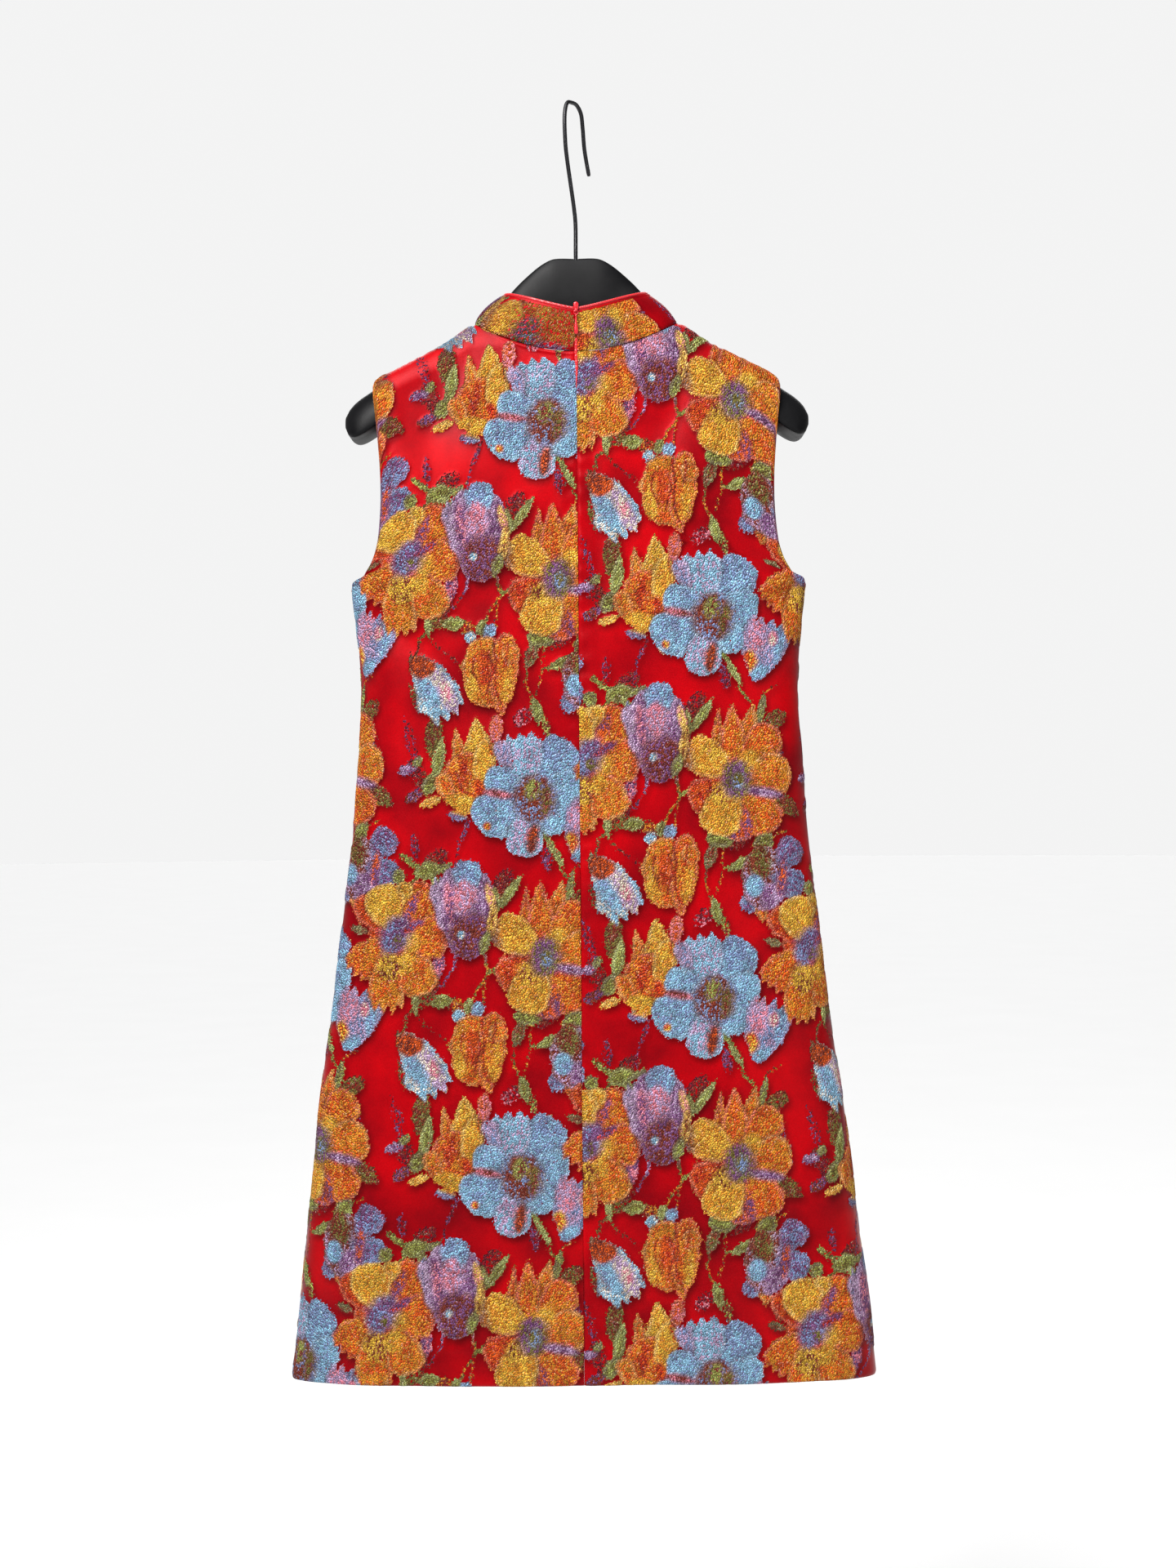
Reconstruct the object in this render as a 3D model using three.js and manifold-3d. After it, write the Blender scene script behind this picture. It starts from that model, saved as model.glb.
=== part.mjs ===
// A sleeveless A-line dress with a mandarin collar and a concealed centre-back zip, on a broad-shouldered
// hanger with a swivelling wire hook. Millimetres, +Z up. The origin is the seat of the hook, the highest
// point inside its arch. The dress's back faces -Y and its front faces +Y.
import * as THREE from "three";
import { mergeVertices } from "three/addons/utils/BufferGeometryUtils.js";
import Module from "manifold-3d";

const wasm = await Module();
wasm.setup();

// Walls and gaps.
const CLOTH = 1.5;
const COLLAR_CLOTH = 1.8;
const TAPE_CLOTH = 1.0;
const SEAM_GAP = 0.3;
const HALF_GAP = SEAM_GAP / 2;

// Key heights and places of the garment, on its outer face.
const HEM_Z = -1087;
const UNDERARM_Z = -415;
const NECK_POINT = { x: 87, z: -188 };
const SHOULDER_TIP = { x: 174, z: -238.5 };
const NECK_BACK_Z = -216;
const NECK_FRONT_Z = -252;

// Level sections of the body. Above the underarm they carry on as the armhole's guide.
const BODY_SECTIONS = [
  { z: -1087, halfWidth: 250.5, halfDepth: 43 },
  { z: -890, halfWidth: 228, halfDepth: 42 },
  { z: -722, halfWidth: 205.5, halfDepth: 40 },
  { z: -582, halfWidth: 191, halfDepth: 38.5 },
  { z: -505, halfWidth: 187, halfDepth: 37.5 },
  { z: -450, halfWidth: 190, halfDepth: 37.5 },
  { z: -415, halfWidth: 193.5, halfDepth: 38 },
  { z: -345, halfWidth: 200, halfDepth: 38 },
  { z: -188, halfWidth: 206, halfDepth: 38 },
];
const SQUARENESS = 3;

// The armhole's edge: its distance from the centre at each height.
const ARMHOLE_EDGE = [
  { z: -415, x: 193.5 },
  { z: -411, x: 187.5 },
  { z: -402, x: 181 },
  { z: -390, x: 174 },
  { z: -375, x: 169.7 },
  { z: -347, x: 167 },
  { z: -320, x: 166.8 },
  { z: -292, x: 168.5 },
  { z: -265, x: 171 },
  { z: -238.5, x: 174 },
];

// The shoulder ridge and the cloth's half depth over it. Inside the neck point it only guides the neckline.
const SHOULDER_LINE = [
  { x: 0, z: -188, halfDepth: 29.5 },
  { x: 60, z: -188, halfDepth: 24 },
  { x: 87, z: -188, halfDepth: 21 },
  { x: 94, z: -190.4, halfDepth: 21 },
  { x: 103, z: -197, halfDepth: 21.7 },
  { x: 113, z: -203.6, halfDepth: 22.6 },
  { x: 128, z: -211.4, halfDepth: 24.4 },
  { x: 155, z: -225.4, halfDepth: 27.8 },
  { x: 168, z: -232.6, halfDepth: 29.2 },
  { x: 174, z: -238.5, halfDepth: 29.6 },
];
const SHOULDER_ROUND = 24;
const SHOULDER_BLEND = 140;

// Grid of each half panel: columns over the neck and the shoulder, rows from the hem to the underarm,
// and rows above it at these drops below the shoulder.
const NECK_COLUMNS = 8;
const SHOULDER_COLUMNS = 7;
const HALF_COLUMNS = NECK_COLUMNS + SHOULDER_COLUMNS;
const SKIRT_ROWS = 16;
const YOKE_DROPS = [171, 162, 146, 120, 90, 62, 40, 25, 14, 6, 1.5, 0];
const ARC_STEPS = 160;

// Mandarin collar: its top edge and the rolled edge on it.
const COLLAR_TOP = { halfWidth: 62, backDepth: 31, frontDepth: 34, sideZ: -162 };
const COLLAR_TOP_BACK_Z = -181;
const COLLAR_TOP_FRONT_Z = -217;
const COLLAR_BACK_POWER = 1.3;
const COLLAR_FRONT_POWER = 1.9;
const COLLAR_BULGE = 2.2;
const COLLAR_ROWS = 3;
const PIPING_RADIUS = 1.3;
const PIPING_SIDES = 7;

// Concealed zip: tape inside the centre back, and the slider's visible plate, bridge and pull.
const TAPE_HALF_WIDTH = 10.5;
const ZIP_END_Z = -740;
const SLIDER = { topZ: -175, bottomZ: -186, width: 4.4, thickness: 1.5, backY: -32.2 };
const BRIDGE = { width: 1.6, wall: 0.7, reach: 1.6, above: 0.95, below: 0.85 };
const PULL_AXIS = {
  y: SLIDER.backY - SLIDER.thickness - BRIDGE.reach / 2,
  z: -182.8,
};
const PULL = { thickness: 0.9, eyeWidth: 4.4, holeWidth: 2.6, holeReach: 2.6, length: 20.6, tipWidth: 3.4 };

// Hanger: sections across it, and the bore of the hook's stem.
const HANGER_SECTIONS = [
  { x: 0, top: -131, bottom: -179, halfThickness: 8 },
  { x: 18, top: -131, bottom: -179.5, halfThickness: 8 },
  { x: 26, top: -134, bottom: -180, halfThickness: 8 },
  { x: 36, top: -141, bottom: -182, halfThickness: 8 },
  { x: 53, top: -157, bottom: -188, halfThickness: 8 },
  { x: 70, top: -178, bottom: -200, halfThickness: 7.5 },
  { x: 80, top: -188.5, bottom: -209, halfThickness: 7.5 },
  { x: 87, top: -192.4, bottom: -215, halfThickness: 9.5 },
  { x: 103, top: -201, bottom: -226, halfThickness: 15.5 },
  { x: 128, top: -214.4, bottom: -245, halfThickness: 21 },
  { x: 155, top: -228.6, bottom: -265, halfThickness: 25 },
  { x: 174, top: -243, bottom: -279, halfThickness: 26.6 },
  { x: 187, top: -252, bottom: -286, halfThickness: 24.5 },
  { x: 194, top: -259, bottom: -284, halfThickness: 18 },
  { x: 198, top: -266, bottom: -276, halfThickness: 8 },
];
const HANGER_EDGE = 4;
const HANGER_ARC_STEPS = 14;
const STEM_BORE = { radius: 2.25, bottomZ: -154, sides: 24 };

// Hook: a round wire bent in one plane that stands turned from the hanger's.
const WIRE_RADIUS = 1.75;
const HOOK_TURN = THREE.MathUtils.degToRad(62);
const HOOK_STEPS = 66;
const HOOK_HALF_SIDES = 5;
const HOOK_BENDS = [
  { s: 0, z: -152 },
  { s: 0, z: -126 },
  { s: 0, z: -101 },
  { s: -2, z: -90 },
  { s: -14.5, z: -48 },
  { s: -17, z: -36 },
  { s: -17.5, z: -10 },
  { s: -13, z: -0.5 },
  { s: -5, z: WIRE_RADIUS },
  { s: 4, z: WIRE_RADIUS },
  { s: 11.5, z: -3.5 },
  { s: 14.5, z: -15 },
  { s: 17.5, z: -33 },
  { s: 25.5, z: -54 },
];

const RED_CLOTH = new THREE.MeshStandardMaterial({ color: 0xb3101f, roughness: 0.45, metalness: 0 });
const RED_TRIM = new THREE.MeshStandardMaterial({ color: 0xc01428, roughness: 0.35, metalness: 0 });
const RED_ENAMEL = new THREE.MeshStandardMaterial({ color: 0xa80f22, roughness: 0.3, metalness: 0.4 });
const BLACK_PLASTIC = new THREE.MeshStandardMaterial({ color: 0x101012, roughness: 0.4, metalness: 0 });
const BLACK_WIRE = new THREE.MeshStandardMaterial({ color: 0x151518, roughness: 0.35, metalness: 0.7 });

// A smooth curve through a table's rows: cubic pieces whose slope at a row is that of its two neighbours.
function curveThrough(rows, along, value) {
  const sorted = [...rows].sort((a, b) => a[along] - b[along]);
  const slopes = sorted.map((row, i) => {
    const before = sorted[Math.max(i - 1, 0)];
    const after = sorted[Math.min(i + 1, sorted.length - 1)];
    return (after[value] - before[value]) / (after[along] - before[along]);
  });
  return (at) => {
    let i = 0;
    while (i < sorted.length - 2 && at > sorted[i + 1][along]) i += 1;
    const span = sorted[i + 1][along] - sorted[i][along];
    const t = THREE.MathUtils.clamp((at - sorted[i][along]) / span, 0, 1);
    const rise = sorted[i + 1][value] - sorted[i][value];
    const bendIn = slopes[i] * span - rise;
    const bendOut = slopes[i + 1] * span - rise;
    return sorted[i][value] + t * rise + t * (1 - t) * ((1 - t) * bendIn - t * bendOut);
  };
}

const bodyHalfWidth = curveThrough(BODY_SECTIONS, "z", "halfWidth");
const bodyHalfDepth = curveThrough(BODY_SECTIONS, "z", "halfDepth");
const armholeX = curveThrough(ARMHOLE_EDGE, "z", "x");
const shoulderZ = curveThrough(SHOULDER_LINE, "x", "z");
const shoulderHalfDepth = curveThrough(SHOULDER_LINE, "x", "halfDepth");

// A quarter of a level section is a superellipse. Its points, with the distance along it from the centre.
function quarterSection(z) {
  const points = [];
  let length = 0;
  for (let i = 0; i <= ARC_STEPS; i += 1) {
    const angle = (i / ARC_STEPS) * (Math.PI / 2);
    const x = bodyHalfWidth(z) * Math.sin(angle) ** (2 / SQUARENESS);
    const y = bodyHalfDepth(z) * Math.abs(Math.cos(angle)) ** (2 / SQUARENESS);
    const last = points[i - 1];
    length += last ? Math.hypot(x - last.x, y - last.y) : 0;
    points.push({ x, y, length });
  }
  return points;
}

// Reads one column of a section's points where another column has a given value.
function readSection(points, known, value, wanted) {
  const after = points.findIndex((point, i) => i > 0 && point[known] >= value);
  if (after < 0) return points[points.length - 1][wanted];
  const from = points[after - 1];
  const to = points[after];
  const t = (value - from[known]) / (to[known] - from[known]);
  return from[wanted] + t * (to[wanted] - from[wanted]);
}

// Half depth of the cloth: the body's section, led toward the hanger's depth near the shoulder, and closed
// over the shoulder ridge by a quarter ellipse.
function clothHalfDepth(x, z) {
  const drop = shoulderZ(x) - z;
  const inside = Math.max(1 - Math.min(x / bodyHalfWidth(z), 1) ** SQUARENESS, 0);
  const body = bodyHalfDepth(z) * inside ** (1 / SQUARENESS);
  const led = THREE.MathUtils.smoothstep(drop, 0, SHOULDER_BLEND);
  const depth = THREE.MathUtils.lerp(shoulderHalfDepth(x), body, led);
  const over = THREE.MathUtils.clamp(drop / SHOULDER_ROUND, 0, 1);
  return depth * Math.sqrt(1 - (1 - over) ** 2);
}

// The neckline's height at a distance from the centre: a parabola from the centre up to the neck point.
function necklineZ(x, centreZ) {
  return THREE.MathUtils.lerp(centreZ, NECK_POINT.z, (x / NECK_POINT.x) ** 2);
}

// The rows' places from hem to shoulder, 0 to 1.
function rowPlaces() {
  const sideHeight = SHOULDER_TIP.z - HEM_Z;
  const underarm = (UNDERARM_Z - HEM_Z) / sideHeight;
  const places = [];
  for (let j = 0; j <= SKIRT_ROWS; j += 1) places.push((underarm * j) / SKIRT_ROWS);
  for (const drop of YOKE_DROPS) places.push(1 - drop / sideHeight);
  return places;
}

// A point of the half panel: column 0 is the centre line and the last is the side seam and armhole; place
// is 0 at the hem and 1 at the neckline and shoulder. Columns divide each level section evenly, and lean
// toward their own places on the neckline and shoulder.
function halfPanelPoint(column, place, neckZ) {
  const across = column / HALF_COLUMNS;
  const neckShare = Math.sin((Math.min(column / NECK_COLUMNS, 1) * Math.PI) / 2);
  const shoulderShare = Math.max((column - NECK_COLUMNS) / SHOULDER_COLUMNS, 0);
  const topX = NECK_POINT.x * neckShare + (SHOULDER_TIP.x - NECK_POINT.x) * shoulderShare;
  const topZ = column <= NECK_COLUMNS ? necklineZ(topX, neckZ) : shoulderZ(topX);
  const z = THREE.MathUtils.lerp(HEM_Z, topZ, place);
  const sideZ = THREE.MathUtils.lerp(HEM_Z, SHOULDER_TIP.z, place);
  const sideX = sideZ <= UNDERARM_Z ? bodyHalfWidth(sideZ) : armholeX(sideZ);
  const sideLength = readSection(quarterSection(sideZ), "x", sideX, "length");
  const topLength = readSection(quarterSection(topZ), "x", topX, "length");
  const tipLength = readSection(quarterSection(SHOULDER_TIP.z), "x", SHOULDER_TIP.x, "length");
  const length = across * sideLength + place * (topLength - across * tipLength);
  const onSide = column === HALF_COLUMNS;
  const x = onSide ? sideX : readSection(quarterSection(z), "length", length, "x");
  const onShoulder = place === 1 && column >= NECK_COLUMNS;
  const onSideSeam = onSide && sideZ <= UNDERARM_Z + 1e-6;
  const halfDepth = onShoulder || onSideSeam ? 0 : clothHalfDepth(x, z);
  return { x, z, halfDepth, onShoulder, onSideSeam };
}

// Grid of a panel's outer face, from -X to +X. facing is -1 for the back and +1 for the front; side is -1,
// +1 or 0 for the left half, the right half or the whole.
function panelGrid(facing, side, neckZ) {
  const first = side > 0 ? 0 : -HALF_COLUMNS;
  const last = side < 0 ? 0 : HALF_COLUMNS;
  const grid = [];
  for (let column = first; column <= last; column += 1) {
    const hand = side || Math.sign(column);
    const shift = side * HALF_GAP;
    grid.push(
      rowPlaces().map((place) => {
        const at = halfPanelPoint(Math.abs(column), place, neckZ);
        const point = new THREE.Vector3(hand * at.x + shift, facing * (at.halfDepth + HALF_GAP), at.z);
        point.onRidge = at.onShoulder || at.onSideSeam;
        point.onCentre = side !== 0 && column === 0;
        return point;
      }),
    );
  }
  return grid;
}

// Outward direction at each point of a grid: the mean of the facets round it, kept in the seam's plane
// where the point lies on a seam. turn is +1 where columns x rows face outward, and -1 where they face
// inward.
function gridNormals(grid, turn) {
  const { clamp } = THREE.MathUtils;
  const at = (i, j) => grid[clamp(i, 0, grid.length - 1)][clamp(j, 0, grid[0].length - 1)];
  return grid.map((line, i) =>
    line.map((point, j) => {
      const along = at(i + 1, j).clone().sub(at(i - 1, j));
      const up = at(i, j + 1).clone().sub(at(i, j - 1));
      const normal = along.cross(up).multiplyScalar(turn);
      if (point.onRidge) normal.y = 0;
      if (point.onCentre) normal.x = 0;
      return normal.normalize();
    }),
  );
}

function offsetGrid(grid, normals, distance) {
  return grid.map((line, i) =>
    line.map((point, j) => point.clone().addScaledVector(normals[i][j], distance)),
  );
}

// A closed wall between two like grids, the first of them outside.
function wallGeometry(outer, inner, turn) {
  const columns = outer.length;
  const rows = outer[0].length;
  const positions = [...outer.flat(), ...inner.flat()].flatMap((p) => [p.x, p.y, p.z]);
  const faces = [];
  const id = (layer, i, j) => (layer * columns + i) * rows + j;
  const quad = (a, b, c, d) => (turn > 0 ? faces.push(a, b, c, a, c, d) : faces.push(a, c, b, a, d, c));
  for (let i = 0; i < columns - 1; i += 1) {
    for (let j = 0; j < rows - 1; j += 1) {
      quad(id(0, i, j), id(0, i + 1, j), id(0, i + 1, j + 1), id(0, i, j + 1));
      quad(id(1, i, j), id(1, i, j + 1), id(1, i + 1, j + 1), id(1, i + 1, j));
    }
    quad(id(0, i, 0), id(1, i, 0), id(1, i + 1, 0), id(0, i + 1, 0));
    quad(id(0, i, rows - 1), id(0, i + 1, rows - 1), id(1, i + 1, rows - 1), id(1, i, rows - 1));
  }
  for (let j = 0; j < rows - 1; j += 1) {
    quad(id(0, 0, j), id(0, 0, j + 1), id(1, 0, j + 1), id(1, 0, j));
    const last = columns - 1;
    quad(id(0, last, j), id(1, last, j), id(1, last, j + 1), id(0, last, j + 1));
  }
  const geometry = new THREE.BufferGeometry();
  geometry.setAttribute("position", new THREE.Float32BufferAttribute(positions, 3));
  geometry.setIndex(faces);
  return geometry;
}

// A closed solid through a list of closed rings, each a list of points, with flat ends.
function ringsGeometry(rings) {
  const sides = rings[0].length;
  const positions = rings.flat().flatMap((p) => [p.x, p.y, p.z]);
  const faces = [];
  for (let i = 0; i < rings.length - 1; i += 1) {
    for (let k = 0; k < sides; k += 1) {
      const next = (k + 1) % sides;
      const [a, b] = [i * sides + k, i * sides + next];
      faces.push(a, b, b + sides, a, b + sides, a + sides);
    }
  }
  const end = (rings.length - 1) * sides;
  for (let k = 1; k < sides - 1; k += 1) {
    faces.push(0, k + 1, k);
    faces.push(end, end + k, end + k + 1);
  }
  const geometry = new THREE.BufferGeometry();
  geometry.setAttribute("position", new THREE.Float32BufferAttribute(positions, 3));
  geometry.setIndex(faces);
  return geometry;
}

// Solids for cutting and joining, and back again.
function solidOf(geometry) {
  const bare = geometry.clone();
  bare.deleteAttribute("normal");
  bare.deleteAttribute("uv");
  const merged = mergeVertices(bare, 1e-4);
  const vertProperties = new Float32Array(merged.attributes.position.array);
  const triVerts = new Uint32Array(merged.index.array);
  return new wasm.Manifold(new wasm.Mesh({ numProp: 3, vertProperties, triVerts }));
}

function geometryOf(solid) {
  const mesh = solid.getMesh();
  const geometry = new THREE.BufferGeometry();
  geometry.setAttribute("position", new THREE.Float32BufferAttribute(mesh.vertProperties, 3));
  geometry.setIndex(new THREE.BufferAttribute(mesh.triVerts, 1));
  return geometry;
}

function meshOf(name, geometry, material) {
  geometry.computeVertexNormals();
  const mesh = new THREE.Mesh(geometry, material);
  mesh.name = name;
  return mesh;
}

// Front and back panels.
function panel(facing, side, neckZ) {
  const outer = panelGrid(facing, side, neckZ);
  const normals = gridNormals(outer, -facing);
  const inner = offsetGrid(outer, normals, -CLOTH);
  return { outer, inner, geometry: wallGeometry(outer, inner, -facing) };
}

// The collar's rings start right of the zip and run round the front to the zip's left. Its base follows the
// panels' neckline points; its top is an oval that dips at the centre back.
function collarGrid(backRight, front, backLeft) {
  const lastRow = backRight.outer[0].length - 1;
  const neckEdge = (grid, from, to) => grid.slice(from, to).map((line) => line[lastRow]);
  const base = [
    ...neckEdge(backRight.outer, 0, NECK_COLUMNS + 1),
    ...neckEdge(front.outer, HALF_COLUMNS - NECK_COLUMNS, HALF_COLUMNS + NECK_COLUMNS + 1).reverse(),
    ...neckEdge(backLeft.outer, HALF_COLUMNS - NECK_COLUMNS, HALF_COLUMNS + 1),
  ];
  return base.map((foot, i) => {
    const isFront = foot.y > 0;
    const isEnd = i === 0 || i === base.length - 1;
    const side = Math.min(Math.abs(foot.x) / NECK_POINT.x, 1);
    const depth = isFront ? COLLAR_TOP.frontDepth : COLLAR_TOP.backDepth;
    const centreZ = isFront ? COLLAR_TOP_FRONT_Z : COLLAR_TOP_BACK_Z;
    const topX = isEnd ? foot.x : Math.sign(foot.x) * COLLAR_TOP.halfWidth * side;
    const topY = (isFront ? 1 : -1) * (depth * Math.sqrt(1 - side ** 2) + HALF_GAP);
    const power = isFront ? COLLAR_FRONT_POWER : COLLAR_BACK_POWER;
    const topZ = THREE.MathUtils.lerp(centreZ, COLLAR_TOP.sideZ, side ** power);
    const line = [];
    for (let j = 0; j <= COLLAR_ROWS; j += 1) {
      const rise = j / COLLAR_ROWS;
      const bulge = COLLAR_BULGE * Math.sin(Math.PI * rise) * side;
      const point = new THREE.Vector3(
        THREE.MathUtils.lerp(foot.x, topX, rise) + Math.sign(foot.x) * bulge,
        THREE.MathUtils.lerp(foot.y, topY, rise),
        THREE.MathUtils.lerp(foot.z + SEAM_GAP + 0.05, topZ, rise) + bulge * 0.6,
      );
      point.onCentre = isEnd;
      line.push(point);
    }
    return line;
  });
}

function collar(backRight, front, backLeft) {
  const outer = collarGrid(backRight, front, backLeft);
  const inner = offsetGrid(outer, gridNormals(outer, 1), -COLLAR_CLOTH);
  return { outer, inner, geometry: wallGeometry(outer, inner, 1) };
}

// The rolled edge: a round bead that follows the middle of the collar's top edge.
function pipingGeometry(band) {
  const line = band.outer.map((column, i) => {
    const middle = column[COLLAR_ROWS].clone().lerp(band.inner[i][COLLAR_ROWS], 0.5);
    const up = column[COLLAR_ROWS].clone().sub(column[COLLAR_ROWS - 1]).normalize();
    return { at: middle.addScaledVector(up, SEAM_GAP + PIPING_RADIUS), up };
  });
  const rings = line.map(({ at, up }, i) => {
    const before = line[Math.max(i - 1, 0)].at;
    const after = line[Math.min(i + 1, line.length - 1)].at;
    const ahead = after.clone().sub(before).normalize();
    const out = new THREE.Vector3().crossVectors(ahead, up).normalize();
    const top = new THREE.Vector3().crossVectors(out, ahead).normalize();
    const ring = [];
    for (let k = 0; k < PIPING_SIDES; k += 1) {
      const angle = (2 * Math.PI * k) / PIPING_SIDES;
      const aside = PIPING_RADIUS * Math.cos(angle);
      const above = PIPING_RADIUS * Math.sin(angle);
      ring.push(at.clone().addScaledVector(out, aside).addScaledVector(top, above));
    }
    return ring;
  });
  return ringsGeometry(rings.map((ring) => ring.reverse()));
}

// The zip's tape lies on the inside of the centre-back edges, from the collar's top down to the zip's end.
function tapeGeometry(backRight, band) {
  const lines = [backRight, band].map(({ inner }) => {
    const edge = inner[0];
    const next = inner[1];
    return edge.map((point, j) => {
      const share = (TAPE_HALF_WIDTH - point.x) / (next[j].x - point.x);
      return { centre: point.clone().setX(0), side: point.clone().lerp(next[j], share) };
    });
  });
  const rows = [...lines[0].filter((row) => row.centre.z >= ZIP_END_Z), ...lines[1].slice(1)];
  const mirrored = (point) => point.clone().setX(-point.x);
  const outer = [
    rows.map((row) => mirrored(row.side)),
    rows.map((row) => row.centre),
    rows.map((row) => row.side),
  ];
  const shifted = (grid, distance) => grid.map((line) => line.map((p) => p.clone().setY(p.y + distance)));
  return wallGeometry(shifted(outer, SEAM_GAP + 0.1), shifted(outer, SEAM_GAP + 0.1 + TAPE_CLOTH), 1);
}

function boxAt(width, depth, height, x, y, z) {
  return new THREE.BoxGeometry(width, depth, height).translate(x, y, z);
}

// An outline drawn in X and Z, thickened along Y about a middle plane.
function plateGeometry(shape, thickness, y) {
  const settings = { depth: thickness, bevelEnabled: false, curveSegments: 8 };
  const geometry = new THREE.ExtrudeGeometry(shape, settings);
  return geometry.translate(0, 0, -thickness / 2).rotateX(Math.PI / 2).translate(0, y, 0);
}

// The slider's plate is a shield, wider at the top, with a square bridge for the pull's eyelet.
function sliderGeometry() {
  const half = SLIDER.width / 2;
  const shape = new THREE.Shape();
  shape.moveTo(-half * 0.6, SLIDER.bottomZ);
  shape.lineTo(half * 0.6, SLIDER.bottomZ);
  shape.quadraticCurveTo(half * 0.8, SLIDER.bottomZ + 4, half, SLIDER.topZ - 2);
  shape.quadraticCurveTo(half, SLIDER.topZ, 0, SLIDER.topZ);
  shape.quadraticCurveTo(-half, SLIDER.topZ, -half, SLIDER.topZ - 2);
  shape.quadraticCurveTo(-half * 0.8, SLIDER.bottomZ + 4, -half * 0.6, SLIDER.bottomZ);
  const plateFront = SLIDER.backY - SLIDER.thickness;
  const top = PULL_AXIS.z + BRIDGE.above + BRIDGE.wall;
  const bottom = PULL_AXIS.z - BRIDGE.below - BRIDGE.wall;
  const deep = BRIDGE.reach + BRIDGE.wall;
  const sink = 0.3;
  const footY = plateFront + sink / 2 - deep / 2;
  const strapY = plateFront - BRIDGE.reach - BRIDGE.wall / 2;
  const pieces = [
    boxAt(BRIDGE.width, deep + sink, BRIDGE.wall, 0, footY, top - BRIDGE.wall / 2),
    boxAt(BRIDGE.width, deep + sink, BRIDGE.wall, 0, footY, bottom + BRIDGE.wall / 2),
    boxAt(BRIDGE.width, BRIDGE.wall, top - bottom, 0, strapY, (top + bottom) / 2),
  ];
  const plate = solidOf(plateGeometry(shape, SLIDER.thickness, SLIDER.backY - SLIDER.thickness / 2));
  return geometryOf(pieces.reduce((solid, piece) => solid.add(solidOf(piece)), plate));
}

// The pull hangs from its eyelet's top bar: eyelet, neck and teardrop in one plate.
function pullGeometry() {
  const eye = PULL.eyeWidth / 2;
  const hole = PULL.holeWidth / 2;
  const bar = PULL.thickness / 2;
  const eyeEnd = PULL.holeReach + PULL.thickness;
  const neck = 0.6;
  const tip = PULL.tipWidth / 2;
  const shape = new THREE.Shape();
  shape.moveTo(-eye + 0.8, bar);
  shape.lineTo(eye - 0.8, bar);
  shape.quadraticCurveTo(eye, bar, eye, bar - 1);
  shape.quadraticCurveTo(eye, -eyeEnd, neck, -eyeEnd - 0.6);
  shape.quadraticCurveTo(neck, -eyeEnd - 4, tip, -PULL.length + bar + tip);
  shape.absarc(0, -PULL.length + bar + tip, tip, 0, -Math.PI, true);
  shape.quadraticCurveTo(-neck, -eyeEnd - 4, -neck, -eyeEnd - 0.6);
  shape.quadraticCurveTo(-eye, -eyeEnd, -eye, bar - 1);
  shape.quadraticCurveTo(-eye, bar, -eye + 0.8, bar);
  const opening = new THREE.Path();
  opening.moveTo(-hole, -bar);
  opening.lineTo(-hole + 0.3, -PULL.holeReach);
  opening.lineTo(hole - 0.3, -PULL.holeReach);
  opening.lineTo(hole, -bar);
  opening.closePath();
  shape.holes.push(opening);
  return plateGeometry(shape, PULL.thickness, 0);
}

// The hanger's section: an arched top over straight sides and a flat underside.
function hangerRing({ x, top, bottom, halfThickness }) {
  const ring = [];
  for (let k = 0; k <= HANGER_ARC_STEPS; k += 1) {
    const angle = (Math.PI * k) / HANGER_ARC_STEPS;
    const edge = Math.min(HANGER_EDGE, (top - bottom) / 3);
    const shoulder = bottom + edge;
    const height = shoulder + (top - shoulder) * Math.sin(angle);
    ring.push(new THREE.Vector3(x, halfThickness * Math.cos(angle), height));
  }
  const inset = halfThickness - Math.min(2.5, halfThickness / 4);
  ring.push(new THREE.Vector3(x, -inset, bottom));
  ring.push(new THREE.Vector3(x, inset, bottom));
  return ring;
}

function hangerGeometry() {
  const right = HANGER_SECTIONS.map(hangerRing);
  const left = HANGER_SECTIONS.slice(1).map((row) => hangerRing({ ...row, x: -row.x }));
  const body = solidOf(ringsGeometry([...left.reverse(), ...right]));
  const boreTop = HANGER_SECTIONS[0].top + 2;
  const boreHeight = boreTop - STEM_BORE.bottomZ;
  const bore = new THREE.CylinderGeometry(STEM_BORE.radius, STEM_BORE.radius, boreHeight, STEM_BORE.sides);
  bore.rotateX(Math.PI / 2).translate(0, 0, boreTop - boreHeight / 2);
  return geometryOf(body.subtract(solidOf(bore)));
}

function hookGeometry() {
  const points = HOOK_BENDS.map(
    ({ s, z }) => new THREE.Vector3(s * Math.cos(HOOK_TURN), s * Math.sin(HOOK_TURN), z),
  );
  const path = new THREE.CatmullRomCurve3(points, false, "centripetal");
  const section = new THREE.Shape().absarc(0, 0, WIRE_RADIUS, 0, 2 * Math.PI, false);
  const settings = { steps: HOOK_STEPS, curveSegments: HOOK_HALF_SIDES, extrudePath: path };
  return new THREE.ExtrudeGeometry(section, settings);
}

const backRight = panel(-1, 1, NECK_BACK_Z);
const backLeft = panel(-1, -1, NECK_BACK_Z);
const front = panel(1, 0, NECK_FRONT_Z);
const band = collar(backRight, front, backLeft);

const dress = new THREE.Group();
dress.add(meshOf("front_panel", front.geometry, RED_CLOTH));
dress.add(meshOf("back_panel_left", backLeft.geometry, RED_CLOTH));
dress.add(meshOf("back_panel_right", backRight.geometry, RED_CLOTH));
dress.add(meshOf("collar", band.geometry, RED_CLOTH));
dress.add(meshOf("collar_piping", pipingGeometry(band), RED_TRIM));
dress.add(meshOf("zip_tape", tapeGeometry(backRight, band), RED_TRIM));
dress.add(meshOf("zip_slider", sliderGeometry(), RED_ENAMEL));

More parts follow.
